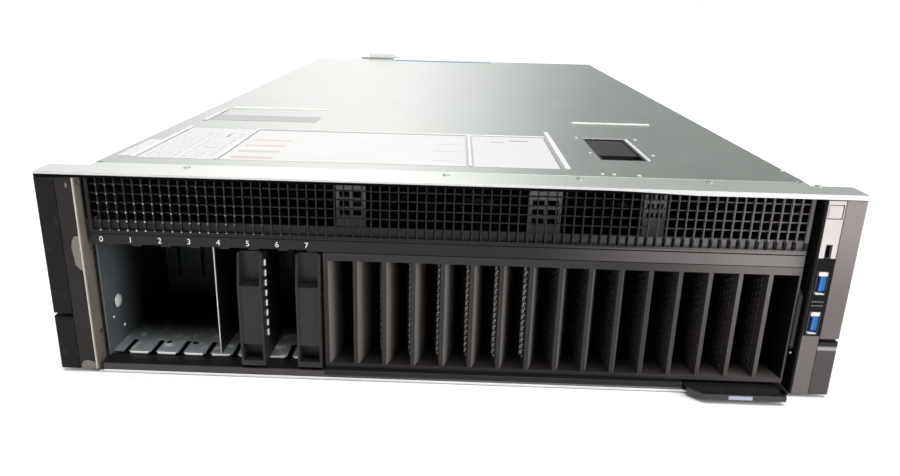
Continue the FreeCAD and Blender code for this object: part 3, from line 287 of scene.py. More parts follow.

# %% [markdown]
# ## The lights
# A broad sun stands for the soft light from above, and two square lamps brighten the front: a strong
# one at the right, where the ear and the grille look paler, and a weak one at the left.

# %% Lights
SUN_POWER = 3.3
SUN_SPREAD = 50.0
SUN_TURN = (10.0, 4.0, 0.0)
SOFTBOXES = {
    "right_softbox": ((1.6, -0.85, 0.55), (0.1, 0.0, 0.06), 0.8, 24),
    "left_softbox": ((-1.2, -1.3, 0.7), (0.0, 0.0, 0.06), 0.6, 3),
}


def softbox(name, place, target, size, power):
    """A square lamp that looks at a point; places are in metres."""
    bpy.ops.object.light_add(type="AREA", location=place)
    lamp = bpy.context.object
    lamp.name = name
    lamp.data.size = size
    lamp.data.energy = power
    aim = Vector(target) - Vector(place)
    lamp.rotation_euler = aim.to_track_quat("-Z", "Y").to_euler()


bpy.ops.object.light_add(type="SUN", rotation=turned(SUN_TURN))
sun = bpy.context.object
sun.name = "broad_sky_light"
sun.data.energy = SUN_POWER
sun.data.angle = math.radians(SUN_SPREAD)
for name, spec in SOFTBOXES.items():
    softbox(name, *spec)
print("lights:", 1 + len(SOFTBOXES))

# %% [markdown]
# ## Plastic and sheet metal recipes
# Most of the machine is moulded plastic or zinc-coated sheet. Plastic gets a fine grain, a cloudy tone
# and a few pale scuffs; sheet metal gets soft clouds, long faint rolling lines and duller handled
# spots. Two recipes with a few numbers make all their colours.

# %% Recipes
GRAIN_SIZE = 0.55
CLOUD_SIZE = 45.0
SCUFF_SIZE = 9.0
ROLL_SIZE = 0.9
ROLL_STRETCH = 0.06
SHEET_CLOUD = 60.0
HANDLED_SIZE = 30.0


def moulded(shade, where, depth=0.02):
    """The fine grain of a mould."""
    return bumped(shade, noise(shade, where, GRAIN_SIZE, 2.0), depth)


def plastic(name, colour, roughness=0.5, grain=0.02, scuffs=0.25, gloss=0.35):
    shade = new_shade(name)
    where = place_on(shade)
    cloud = noise(shade, where, CLOUD_SIZE)
    worn = soft_step(shade, noise(shade, where, SCUFF_SIZE, 7.0), 0.58, 0.75) * scuffs
    clean = mixed(shade, cloud, dimmed(colour, 0.8), dimmed(colour, 1.25))
    tone = mixed(shade, worn, clean, dimmed(colour, 0.6, 0.05))
    return finished_material(
        shade, Base_Color=tone, Roughness=roughness + 0.12 * (cloud - 0.5) + 0.2 * worn,
        Normal=moulded(shade, where, grain), Specular_IOR_Level=gloss)


def sheet_metal(name, colour, roughness=0.35, handling=0.12):
    shade = new_shade(name)
    where = place_on(shade)
    cloud = noise(shade, where, SHEET_CLOUD, 5.0)
    rolled = noise(shade, stretched(shade, where, (1.0, ROLL_STRETCH, 1.0)), ROLL_SIZE, 2.0)
    handled = soft_step(shade, noise(shade, where, HANDLED_SIZE, 6.0), 0.55, 0.72)
    tone = mixed(shade, cloud, dimmed(colour, 0.88), colour)
    rough = roughness + 0.06 * (rolled - 0.5) + handling * (handled + cloud - 0.5)
    return finished_material(
        shade, Base_Color=tone, Metallic=1.0, Roughness=rough,
        Normal=bumped(shade, rolled + cloud, 0.01, 0.3))


print("plastic and sheet_metal are ready")

# %% [markdown]
# ## The finishes by slot
# The record names a material slot for every solid. Each slot gets one finish here, and the solids that
# stay as they are take it at once.

# %% Finishes
finishes = {
    "cover_steel": sheet_metal("cover_steel", (0.62, 0.64, 0.62, 1.0), 0.34, 0.02),
    "chassis_steel": sheet_metal("chassis_steel", (0.52, 0.54, 0.53, 1.0), 0.36),
    "cage_steel": sheet_metal("cage_steel", (0.42, 0.47, 0.49, 1.0), 0.34),
    "bracket_steel": plastic("bracket_steel", grey(0.17, 1.12, 0.86), 0.5),
    "spring_steel": sheet_metal("spring_steel", (0.85, 0.85, 0.82, 1.0), 0.25),
    "port_steel": sheet_metal("port_steel", (0.75, 0.75, 0.74, 1.0), 0.25),
    "pin_steel": sheet_metal("pin_steel", (0.6, 0.6, 0.6, 1.0), 0.3),
    "psu_metal": sheet_metal("psu_metal", (0.5, 0.51, 0.5, 1.0), 0.38),
    "cooler_aluminium": sheet_metal("cooler_aluminium", (0.7, 0.7, 0.7, 1.0), 0.35),
    "port_shells": sheet_metal("port_shells", (0.6, 0.6, 0.58, 1.0), 0.32),
    "lift_handle": sheet_metal("lift_handle", (0.85, 0.85, 0.83, 1.0), 0.45),
    "bezel_plastic": plastic("bezel_plastic", grey(0.010, 1.15, 1.0), 0.42, gloss=0.25),
    "filler_plastic": plastic("filler_plastic", grey(0.022, 1.15, 0.93), 0.42, gloss=0.4),
    "blank_plastic": plastic("blank_plastic", grey(0.014, 1.1, 1.0), 0.42, gloss=0.3),
    "ear_plastic": plastic("ear_plastic", grey(0.009, 1.2, 1.05), 0.55, gloss=0.1),
    "panel_plastic": plastic("panel_plastic", grey(0.06, 1.14, 0.97), 0.5),
    "button_plastic": plastic("button_plastic", (0.72, 0.66, 0.65, 1.0), 0.45),
    "blue_plastic": plastic("blue_plastic", (0.46, 0.66, 0.82, 1.0), 0.4),
    "tag_plastic": plastic("tag_plastic", grey(0.013), 0.24, gloss=0.6),
    "latch_plastic": plastic("latch_plastic", grey(0.014), 0.45),
    "circuit_board": plastic("circuit_board", (0.03, 0.045, 0.04, 1.0), 0.5, gloss=0.2),
    "connector_plastic": plastic("connector_plastic", grey(0.012), 0.4),
    "memory_board": plastic("memory_board", (0.012, 0.05, 0.02, 1.0), 0.45),
    "fan_plastic": plastic("fan_plastic", grey(0.02), 0.5),
    "shroud_plastic": plastic("shroud_plastic", grey(0.018), 0.5),
    "handle_plastic": plastic("handle_plastic", grey(0.018), 0.45),
    "release_plastic": plastic("release_plastic", (0.4, 0.09, 0.03, 1.0), 0.45),
}


def paint(obj, material):
    """Gives a piece or a node one material in place of those it has."""
    obj.data.materials.clear()
    obj.data.materials.append(material)


for node, obj in nodes.items():
    paint(obj, finishes[slot_of[node]])
print("finishes:", len(finishes))

# %% [markdown]
# ## Starting shapes
# Blender's operators act on what is selected, and the loader leaves all nodes selected, so these
# helpers start by clearing the selection. A slab or a disc is only a start for the steps below.

# %% Slabs and discs
TURNS = {"X": (0, math.pi / 2, 0), "Y": (math.pi / 2, 0, 0), "Z": (0, 0, 0)}


def take(obj):
    """Makes one object the only selected one."""
    bpy.ops.object.select_all(action="DESELECT")
    obj.select_set(True)
    bpy.context.view_layer.objects.active = obj
    return obj


def settle():
    """Applies the place, turn and scale of the selected object to its mesh."""
    bpy.ops.object.transform_apply(location=True, rotation=True, scale=True)


def slab(name, low, high):
    """A cube brought between two corners in millimetres."""
    bpy.ops.object.select_all(action="DESELECT")
    low, high = mm(*low), mm(*high)
    bpy.ops.mesh.primitive_cube_add(size=1, location=(low + high) / 2)
    obj = bpy.context.object
    obj.name = name
    obj.scale = high - low
    settle()
    return obj


def disc(name, place, radius, height, axis="Z", sides=24):
    """A short cylinder standing on a place in millimetres, along an axis; -Y is the front."""
    bpy.ops.object.select_all(action="DESELECT")
    lift = {"X": (height / 2, 0, 0), "Y": (0, -height / 2, 0), "Z": (0, 0, height / 2)}[axis]
    bpy.ops.mesh.primitive_cylinder_add(
        vertices=sides, radius=radius * MM, depth=height * MM,
        location=mm(*place) + mm(*lift), rotation=TURNS[axis])
    obj = bpy.context.object
    obj.name = name
    settle()
    return obj


print("slab and disc are ready")

# %% [markdown]
# ## Shaping faces
# By hand, faces are clicked and then inset, pushed or scaled. Here they are picked by their middle and
# normal, so that the same step works on any piece, and the operators then act as they do by hand.

# %% Picking, dishing and tapering
SQUARE_ON = 0.9


def looking(axis, side=1, least=SQUARE_ON):
    """A test for the faces that look along an axis; side -1 turns it round."""
    return lambda middle, normal: side * normal["XYZ".index(axis)] > least


def pick(obj, test):
    """Enters edit mode with the faces selected whose middle, in mm, and normal pass a test."""
    take(obj)
    bpy.ops.object.mode_set(mode="EDIT")
    bpy.ops.mesh.select_mode(type="FACE")
    bpy.ops.mesh.select_all(action="DESELECT")
    bpy.ops.object.mode_set(mode="OBJECT")
    for face in obj.data.polygons:
        face.select = bool(test(face.center / MM, face.normal))
    bpy.ops.object.mode_set(mode="EDIT")


def dish(obj, test, border, push):
    """Insets the picked faces by a border and pushes them along a vector, both in millimetres."""
    pick(obj, test)
    bpy.ops.mesh.inset(thickness=border * MM, use_even_offset=True)
    bpy.ops.transform.translate(value=mm(*push))
    bpy.ops.object.mode_set(mode="OBJECT")


def taper(obj, test, shares):
    """Scales the picked faces about their middle."""
    pick(obj, test)
    bpy.ops.transform.resize(value=shares)
    bpy.ops.object.mode_set(mode="OBJECT")


print("pick, dish and taper are ready")

# %% [markdown]
# ## Rounding and cutting
# Real edges are never knife-sharp, and a rounded one catches the light, so a Bevel modifier rounds what
# is left of the sharp edges. Openings are cut by a Boolean modifier with a second shape, which is
# removed afterwards.

# %% Rounding and cutting
SMOOTH_ANGLE = 32
ROUND_ANGLE = 35


def soften(obj, width, segments=2):
    """Rounds the sharp edges, so that they catch the light."""
    take(obj)
    bpy.ops.object.shade_smooth_by_angle(angle=math.radians(SMOOTH_ANGLE))
    bevel = obj.modifiers.new("rounded_edges", "BEVEL")
    bevel.width = width * MM
    bevel.segments = segments
    bevel.limit_method = "ANGLE"
    bevel.angle_limit = math.radians(ROUND_ANGLE)
    bevel.harden_normals = True
    bpy.ops.object.modifier_apply(modifier=bevel.name)
    return obj


def cut(obj, cutter):
    """Takes a cutter away from a piece."""
    take(obj)
    boolean = obj.modifiers.new("cut", "BOOLEAN")
    boolean.operation = "DIFFERENCE"
    boolean.solver = "EXACT"
    boolean.object = cutter
    bpy.ops.object.modifier_apply(modifier=boolean.name)
    bpy.data.objects.remove(cutter)
    return obj


print("soften and cut are ready")

# %% [markdown]
# ## Joining, copying and hanging
# What repeats is modelled once. Single copies get a mesh of their own; long rows come from an Array
# modifier. A finished piece is then hung on the body that it moves with and painted with a given finish
# or that of its slot.

# %% Joining, copying and hanging
def together(objects, name):
    """Joins several objects into one piece."""
    bpy.ops.object.select_all(action="DESELECT")
    for obj in objects:
        obj.select_set(True)
    bpy.context.view_layer.objects.active = objects[0]
    bpy.ops.object.join()
    joined = bpy.context.object
    joined.name = name
    return joined


def copies(obj, shifts):
    """The object and a moved copy of its mesh for each shift in millimetres."""
    made = [obj]
    for shift in shifts:
        mesh = obj.data.copy()
        twin = bpy.data.objects.new(obj.name, mesh)
        bpy.context.scene.collection.objects.link(twin)
        take(twin)
        bpy.ops.transform.translate(value=mm(*shift))
        settle()
        made.append(twin)
    return made


def repeated(obj, count, shift):
    """Repeats a mesh by an Array modifier with a constant shift in millimetres."""
    take(obj)
    array = obj.modifiers.new("repeat", "ARRAY")
    array.count = count
    array.use_relative_offset = False
    array.use_constant_offset = True
    array.constant_offset_displace = mm(*shift)
    bpy.ops.object.modifier_apply(modifier=array.name)
    return obj


def place_piece(obj, body, slot, material=None):
    """Hangs a finished piece on a body and paints it with a given finish, or else its slot's finish."""
    paint(obj, material or finishes[slot])
    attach(obj, body)
    return obj


print("together, copies, repeated and place_piece are ready")

# %% [markdown]
# ## Rounded pieces from the solids
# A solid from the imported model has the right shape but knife-sharp edges. A copy of its mesh is merged
# into clean faces, shaped a little more where the photo shows it, and its edges are rounded. The copy
# then stands for the node, which stays as it is for the simulation.

# %% Rounded copies
MERGE_WITHIN = 0.01
FLAT_WITHIN = 0.5
ROUNDED = {
    "front_hood": 0.5, "top_cover": 0.5, "left_ear_cover": 0.4, "left_latch_lever": 0.4,
    "right_control_panel": 0.35, "power_button": 0.5, "front_sill": 0.4, "info_tag": 0.4,
    "cover_latch_tray": 0.3, "cover_latch_lever": 0.5, "cover_lock": 0.4, "rear_handle": 1.2,
    "card_retainer": 0.5, "psu_1_case": 0.5, "psu_2_case": 0.5, "psu_1_handle": 1.4,
    "psu_2_handle": 1.4, "psu_1_latch": 0.7, "psu_2_latch": 0.7, "front_ports": 0.12,
    "usb_tongues": 0.25, "front_grille": 0.16, "blank_springs_5": 0.3, "blank_springs_7": 0.3,
}


def clean_copy(node):
    """A copy of a node's mesh with its loose triangles merged into whole faces."""
    obj = bpy.data.objects.new(node + "_piece", nodes[node].data.copy())
    bpy.context.scene.collection.objects.link(obj)
    take(obj)
    bpy.ops.mesh.customdata_custom_splitnormals_clear()
    bpy.ops.object.mode_set(mode="EDIT")
    bpy.ops.mesh.select_all(action="SELECT")
    bpy.ops.mesh.remove_doubles(threshold=MERGE_WITHIN * MM)
    bpy.ops.mesh.dissolve_limited(angle_limit=math.radians(FLAT_WITHIN))
    bpy.ops.object.mode_set(mode="OBJECT")
    return obj


def stand_for(obj, node, material=None):
    """Lets a piece stand for a node: on its body, with a given finish or its slot's, and the node
    hidden.
    """
    place_piece(obj, body_of[node], slot_of[node], material)
    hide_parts(node)
    return obj


pieces = {}
for node, width in ROUNDED.items():
    pieces[node] = stand_for(soften(clean_copy(node), width), node)
print("rounded pieces:", len(pieces), "faces:", sum(len(p.data.polygons) for p in pieces.values()))

# %% [markdown]
# ## Numbers over the bays
# White numbers 0 to 7 are printed on the bar over the open bays. Printed marks could be a mask in the
# bar's finish, but real outlines stay sharp at any distance, so each number is a text object that is
# made a mesh and set a hair in front of the bar.

# %% Bay numbers
BAR_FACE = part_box("number_bar")[0].y / MM
CLEAR_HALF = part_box("front_grille")[1].x / MM
SLOTS = 24
OPEN_BAYS = 8
SLOT_PITCH = 2 * CLEAR_HALF / SLOTS
NUMBER_SIZE = 5.0
NUMBER_SHIFT = -2.4
NUMBER_HEIGHT = 87.6
PRINT = 0.08


def slot_middle(index):
    return -CLEAR_HALF + (index + 0.5) * SLOT_PITCH


def number(index):
    bpy.ops.object.select_all(action="DESELECT")
    bpy.ops.object.text_add()
    obj = bpy.context.object
    obj.data.body = str(index)
    obj.data.size = NUMBER_SIZE * MM
    obj.data.extrude = PRINT / 2 * MM
    obj.data.align_x = "CENTER"
    obj.data.align_y = "CENTER"
    bpy.ops.object.convert(target="MESH")
    obj = bpy.context.object
    obj.rotation_euler = TURNS["Y"]
    obj.location = mm(slot_middle(index) + NUMBER_SHIFT, BAR_FACE - PRINT / 2, NUMBER_HEIGHT)
    settle()
    return obj


white_print = plastic("white_print", grey(0.75), 0.6, scuffs=0.6)
numbers = together([number(index) for index in range(OPEN_BAYS)], "bay_numbers")
place_piece(numbers, "chassis", "bezel_plastic", white_print)
print("bay numbers:", len(numbers.data.polygons), "faces")

# %% [markdown]
# ## The drive blanks
# Two blanks close bays 5 and 7. The front of each grip is a shallow panel between two raised edges. An
# inset would do on one whole face, but this face has an opening under it, so a slab cuts the panel.

# %% Drive blanks
GRIP_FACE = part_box("drive_blank_5")[0].y / MM
GRIP_EDGE = 1.6
GRIP_SINK = 0.7
GRIP_LEVELS = (22.5, 60.5)


def drive_blank(node):
    obj = clean_copy(node)
    low, high = (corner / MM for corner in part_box(node))
    panel = slab("panel", (low.x + GRIP_EDGE, GRIP_FACE - 1, GRIP_LEVELS[0]),
                 (high.x - GRIP_EDGE, GRIP_FACE + GRIP_SINK, GRIP_LEVELS[1]))
    return stand_for(soften(cut(obj, panel), 0.35), node)


for bay in (5, 7):
    drive_blank(f"drive_blank_{bay}")
print("blanks have sunk panels", GRIP_SINK, "mm deep")

# %% [markdown]
# ## Finish of the slot filler
# One black moulding fills sixteen slots. The left walls of its pockets get painted light from the right,
# the right end of its face gets painted light too, and all of it gets painted shade deeper into the
# pockets. One finish can hold these tones, because the place and the normal of a point tell which wall
# it is on.

# %% Pocket plastic
FILLER_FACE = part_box("slot_filler")[0].y / MM
FILLER_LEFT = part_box("slot_filler")[0].x / MM
POCKET_DEPTH = 22.0
LAST_WALL = 196.0
RIGHT_LIGHT_START = 105
RIGHT_LIGHT_HEIGHTS = (40, 80)
WALL_ON = 0.5


def pocket_plastic(name):
    """Black plastic with painted light on its left walls, fading into painted shade deep in the pocket.
    """
    shade = new_shade(name)
    where = place_on(shade)
    x, y, z = (along(shade, where, axis) for axis in "XYZ")
    sideways = facing(shade, "X")
    cloud = noise(shade, where, 30.0, 4.0)
    # Painted shade: every face darkens with depth into the pocket.
    painted_pocket_shade = soft_step(shade, y, FILLER_FACE * MM, (FILLER_FACE + POCKET_DEPTH) * MM)
    # Painted light: the face grows paler towards the right end, less so low down.
    right_painted_light = soft_step(shade, x, RIGHT_LIGHT_START * MM, CLEAR_HALF * MM) * (0.8 + 0.4 * cloud)
    right_painted_light = right_painted_light * soft_step(shade, z, RIGHT_LIGHT_HEIGHTS[0] * MM, RIGHT_LIGHT_HEIGHTS[1] * MM, 0.6, 1.0)
    face = mixed(shade, right_painted_light, grey(0.017, 1.14, 0.95), grey(0.12, 1.12, 0.96))
    # Painted light on the left walls, fading into painted shade deep in the pocket.
    wall = mixed(shade, painted_pocket_shade, grey(0.125, 1.12, 0.92), grey(0.004))
    tone = mixed(shade, sideways > WALL_ON, mixed(shade, painted_pocket_shade, face, grey(0.003)), wall)
    # Painted shade: the holed right walls darken with depth, and the last one is black.
    holed = mixed(shade, painted_pocket_shade, grey(0.026, 1.14, 0.95), grey(0.003))
    holed = mixed(shade, x > LAST_WALL * MM, holed, grey(0.002))
    tone = mixed(shade, sideways < -WALL_ON, tone, holed)
    return finished_material(
        shade, Base_Color=tone, Roughness=0.45 + 0.15 * (cloud - 0.5), Specular_IOR_Level=0.3,
        Normal=moulded(shade, where))


pocket_finish = pocket_plastic("pocket_plastic")
print("filler face at", round(FILLER_FACE, 2), "mm")

# %% [markdown]
# ## The slot filler
# Each pocket has a slanted left wall and a right wall with a honeycomb of air holes. One six-sided
# cutter is repeated by Array modifiers, first into a field of holes and then from pocket to pocket, and
# taken away from the moulding in one cut. The pocket floors then get a near-black of their own: painted
# shade.

# %% Slot filler with air holes
RIB = 2.6
LEAN = 4.2 / 25.7
HOLE_RADIUS = 1.75
HOLE_CUT = 2.4
HOLE_STEP = 4.1
HOLE_ROWS = 15
HOLE_COLUMN_PAIRS = 3
HOLE_START = (5.4, 15.0)
HOLED_POCKETS = 14
POCKET_FLOOR = 15


def pocket_wall(index, depth):
    """X of the right wall of a filler pocket at a depth behind the face."""
    return slot_middle(OPEN_BAYS + index) + (SLOT_PITCH - RIB) / 2 - LEAN * depth


depth, height = HOLE_START
column = HOLE_STEP * math.sqrt(3) / 2
first = disc("hole", (pocket_wall(1, depth) - 0.5, FILLER_FACE + depth, height),
             HOLE_RADIUS, HOLE_CUT, "X", 6)
second = copies(first, [(-LEAN * column, column, HOLE_STEP / 2)])[1]
holes = together([first, second], "air_holes")
repeated(holes, HOLE_COLUMN_PAIRS, (-2 * LEAN * column, 2 * column, 0))
repeated(holes, HOLE_ROWS, (0, 0, HOLE_STEP))
repeated(holes, HOLED_POCKETS, (SLOT_PITCH, 0, 0))
filler = soften(clean_copy("slot_filler"), 0.35)
stand_for(cut(filler, holes), "slot_filler", pocket_finish)
# The pocket floors get a near-black of their own: painted shade deep in the pockets.
filler.data.materials.append(plastic("pocket_floor_shade", grey(0.002), 0.9, gloss=0.02))
pick(filler, lambda middle, normal: (
    normal.y < -SQUARE_ON and middle.y > FILLER_FACE + POCKET_FLOOR))
filler.active_material_index = 1
bpy.ops.object.material_slot_assign()
bpy.ops.object.mode_set(mode="OBJECT")
print("filler faces:", len(filler.data.polygons))

# %% [markdown]
# ## Painted highlight behind the air holes
# Bright specks show in the air holes of the pockets on the left, deep in the first ones and nearer the
# front in the others: light from the lit wall of the next pocket, seen through the holes. Thin pale
# strips lie just under the holed walls as a painted highlight; the back end of each is moved in edit
# mode, so that it leans like its wall.

# %% Pale strips behind the holes, a painted highlight
STRIPS = ((1, 1, 9.0, 24.0), (2, 5, 6.8, 13.0))
STRIP_HEIGHTS = (12.5, 76.0)
STRIP_SINK = 0.06
STRIP_SHEET = 0.4


def zinc_strip(pocket, count, start, end):
    """Strips for some pockets in a row, between two depths."""
    x = pocket_wall(pocket, start) + STRIP_SINK
    obj = slab("zinc_strip", (x, FILLER_FACE + start, STRIP_HEIGHTS[0]),
               (x + STRIP_SHEET, FILLER_FACE + end, STRIP_HEIGHTS[1]))
    pick(obj, looking("Y"))
    bpy.ops.transform.translate(value=mm(-LEAN * (end - start), 0, 0))
    bpy.ops.object.mode_set(mode="OBJECT")
    return repeated(soften(obj, 0.02, 1), count, (SLOT_PITCH, 0, 0))


tin = plastic("bright_tin", grey(0.85, 1.0, 0.97), 0.35, 0.01, 0.3, 0.8)
# The strips are a painted highlight: their pale tin stands for light seen through the holes.
strips = together([zinc_strip(*spec) for spec in STRIPS], "hole_highlight_strips")
place_piece(strips, "chassis", "spring_steel", tin)
print("zinc strips:", sum(spec[1] for spec in STRIPS))

# %% [markdown]
# ## Films on the right ear
# The right ear has a pale film round the button and a black plate round the two data ports. Films are
# thin plates with windows cut where the controls stand.

# %% Right ear films
PANEL_LOW, PANEL_HIGH = (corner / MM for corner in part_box("right_control_panel"))
FILM = 0.25
FILM_EDGE = 0.25
FILM_SPLIT = 91.6
FILM_TOP_GAP = 0.3
PLATE_BOTTOM = 42.0
BUTTON_TALL = 8.0
BUTTON_GAP = 0.35
PORT_LEVELS = (75.9, 50.2)
PORT_TALL = 15.2
PORT_GAP = 0.1
SERVICE_PORT = ((221.9, 91.4), (225.3, 100.0))
SERVICE_GAP = 0.2


def film(name, low_z, high_z, windows, thickness):
    """A thin plate on the right panel with a window for each (low, high, margin)."""
    obj = slab(name, (PANEL_LOW.x + FILM_EDGE, PANEL_LOW.y - thickness, low_z),
               (PANEL_HIGH.x - FILM_EDGE, PANEL_LOW.y, high_z))
    for low, high, margin in windows:
        cut(obj, slab("window", (low[0] - margin, PANEL_LOW.y - 1, low[1] - margin),
                      (high[0] + margin, PANEL_LOW.y + 1, high[1] + margin)))
    return soften(obj, 0.1)


button_low, button_high = (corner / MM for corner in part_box("power_button"))
ports_low, ports_high = (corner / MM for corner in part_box("front_ports"))
PORT_X = (ports_low.x, ports_high.x)
button_window = ((button_low.x, button_high.z - BUTTON_TALL), (button_high.x, button_high.z),
                 BUTTON_GAP)
port_windows = [((PORT_X[0], level - PORT_TALL / 2), (PORT_X[1], level + PORT_TALL / 2), PORT_GAP)
                for level in PORT_LEVELS]

pale_film = plastic("pale_film", (0.56, 0.51, 0.50, 1.0), 0.4, 0.006, 0.15, 0.4)
black_film = plastic("black_film", grey(0.004, 1.1, 1.1), 0.5, 0.006, 0.1, 0.1)
control_film = film("control_film", FILM_SPLIT, PANEL_HIGH.z - FILM_TOP_GAP,
                    [button_window, (*SERVICE_PORT, SERVICE_GAP)], FILM)
place_piece(control_film, "chassis", "button_plastic", pale_film)
port_plate = film("port_plate", PLATE_BOTTOM, FILM_SPLIT, port_windows, 2 * FILM)
place_piece(port_plate, "chassis", "ear_plastic", black_film)
print("films:", FILM, "and", 2 * FILM, "mm thick")

# %% [markdown]
# ## Body of the right ear
# The ear is a grey-brown moulding. It is lighter than the left ear, partly its own tone and partly
# painted light from the right, and it gets more painted light towards its top; its latch lever has a
# painted highlight on its crown under painted shade in the gap above. These tones change only with
# height, so one recipe lays bands over a base colour.

# %% Right ear body
def banded(name, colour, bands):
    """Plastic whose tone changes upwards; each band is (start, end, colour) in mm of height."""
    shade = new_shade(name)
    where = place_on(shade)
    z = along(shade, where, "Z")
    cloud = noise(shade, where, CLOUD_SIZE)
    tone = mixed(shade, cloud, dimmed(colour, 0.85), colour)
    for start, end, band in bands:
        tone = mixed(shade, soft_step(shade, z, start * MM, end * MM), tone, band)
    return finished_material(
        shade, Base_Color=tone, Roughness=0.42 + 0.12 * (cloud - 0.5), Specular_IOR_Level=0.35,
        Normal=moulded(shade, where))


# Painted light towards the top of the ear; on the lever a painted highlight on the crown and painted
# shade in the gap above it.
painted_light_top = [(60, 122, grey(0.205, 1.14, 0.97))]
crown_highlight_and_gap_shade = [(31.6, 33.0, grey(0.3, 1.05, 1.0)), (33.8, 35.4, grey(0.004))]
# Body and panel are lighter than the left ear partly as painted light from the right.
right_body = banded("right_ear_body", grey(0.12, 1.16, 0.98), painted_light_top)
right_lower = plastic("right_lower_body", grey(0.115, 1.16, 0.98), 0.42)
lever_body = banded("right_lever_body", grey(0.05, 1.14, 0.98), crown_highlight_and_gap_shade)
dull_shell = sheet_metal("dull_shell", (0.16, 0.16, 0.16, 1.0), 0.45)
stand_for(soften(clean_copy("right_ear_cover"), 0.4), "right_ear_cover", right_body)
stand_for(soften(clean_copy("right_latch_lever"), 0.4), "right_latch_lever", lever_body)
stand_for(soften(clean_copy("right_ear_bracket"), 0.2), "right_ear_bracket", black_film)
paint(pieces["right_control_panel"], right_lower)
paint(pieces["power_button"], pale_film)
paint(pieces["front_ports"], dull_shell)
paint(pieces["blank_springs_5"], tin)
# The springs of blank 7 are the same steel as those of blank 5; their black is painted shade.
paint(pieces["blank_springs_7"], black_film)
print("right ear: body, lever and bracket")

# %% [markdown]
# ## Inserts of the ports
# Each data port shows a bright blue insert with a navy block beside it; the navy is painted shade on the
# shadowed side of the insert. Both are small blocks whose front is inset and pushed in. Two rows of
# small marks are printed on the plate between the ports; they are thin slabs, because their outlines
# have to stay sharp in a close view.

# %% Port inserts and marks
INSERT_EDGES = (3.0, 0.7)
BACK_EDGES = (0.6, 2.9)
INSERT_TALL = 10.6
INSERT_REAR = 9.0
MARK_ROWS = (61.3, 63.9)
MARK_SIZE = (1.1, 0.8)
MARK_STEP = 1.45
MARKS_IN_ROW = 5
MARK_SKIN = 0.06
blue_insert = plastic("blue_insert", (0.02, 0.16, 0.48, 1.0), 0.35, 0.006, 0.05, 0.4)
insert_painted_shade = plastic("insert_painted_shade", (0.012, 0.016, 0.16, 1.0), 0.4, 0.006, 0.05, 0.3)
grey_print = plastic("grey_print", grey(0.12), 0.6)


def port_block(name, left, right, level, front, border, sink, rounding):
    """A block in a port, from its left and right edge, with its front inset and pushed in."""
    obj = slab(name, (left, PANEL_LOW.y + front, level - INSERT_TALL / 2),
               (right, PANEL_LOW.y + INSERT_REAR, level + INSERT_TALL / 2))
    dish(obj, looking("Y", -1), border, (0, sink, 0))
    return soften(obj, rounding)


inserts = [port_block("port_insert", PORT_X[0] + INSERT_EDGES[0], PORT_X[1] - INSERT_EDGES[1], level,
                      front=0.8, border=0.9, sink=0.5, rounding=0.25)
           for level in PORT_LEVELS]
place_piece(together(inserts, "port_inserts"), "chassis", "blue_plastic", blue_insert)
# The navy blocks are painted shade on the shadowed side of each insert.
backs = [port_block("port_back", PORT_X[0] + BACK_EDGES[0], PORT_X[0] + BACK_EDGES[1], level,
                    front=2.0, border=0.4, sink=0.6, rounding=0.2)
         for level in PORT_LEVELS]
place_piece(together(backs, "port_backs"), "chassis", "blue_plastic", insert_painted_shade)
mark_x, mark_y = PORT_X[0] - 0.2, PANEL_LOW.y - 2 * FILM
marks = slab("port_marks", (mark_x, mark_y - MARK_SKIN, MARK_ROWS[0]),
             (mark_x + MARK_SIZE[0], mark_y + MARK_SKIN, MARK_ROWS[0] + MARK_SIZE[1]))
dish(marks, looking("Y", -1), 0.15, (0, 0.02, 0))
repeated(marks, MARKS_IN_ROW, (MARK_STEP, 0, 0))
repeated(marks, len(MARK_ROWS), (0, 0, MARK_ROWS[1] - MARK_ROWS[0]))
place_piece(marks, "chassis", "ear_plastic", grey_print)
print("inserts:", len(inserts), "marks:", MARKS_IN_ROW * len(MARK_ROWS))

# %% [markdown]
# ## Springs of the ports
# Bright contact springs show at both ends of each shell, a broad one above and a thin one below the
# insert. They are slabs with a dished front, rounded so that they look bent.

# %% Port springs
SPRING_ENDS = ((1, 2.4), (-1, 0.45))
SPRING_GAP = 0.55
SPRING_EDGES = (1.2, 0.9)
SPRING_PROUD = 0.3
SPRING_DEEP = 6.0


def port_spring(level, side, thickness):
    inner = level + side * (PORT_TALL / 2 - SPRING_GAP)
    outer = inner - side * thickness
    obj = slab("port_spring",
               (PORT_X[0] + SPRING_EDGES[0], PANEL_LOW.y - SPRING_PROUD, min(inner, outer)),
               (PORT_X[1] - SPRING_EDGES[1], PANEL_LOW.y + SPRING_DEEP, max(inner, outer)))
    dish(obj, looking("Y", -1), 0.3, (0, 0.6, 0))
    return soften(obj, 0.2)


springs = [port_spring(level, *end) for level in PORT_LEVELS for end in SPRING_ENDS]
place_piece(together(springs, "port_springs"), "chassis", "port_steel", tin)
print("port springs:", len(springs))

# %% [markdown]
# ## Film on the left ear
# The strip beside the chassis carries a black film that has torn and shows bare metal in a few places.
# Tears could be cut out of a real film, but it is too thin to show an edge, so they are a mask in the
# finish: a distance from each patch, roughened by noise.

# %% Left ear film
PATCHES = ((-219.4, 80.0, 4.2, 11.0), (-223.0, 3.5, 5.2, 4.2), (-222.0, 122.0, 0.6, 1.7))
RAGGED = 1.4


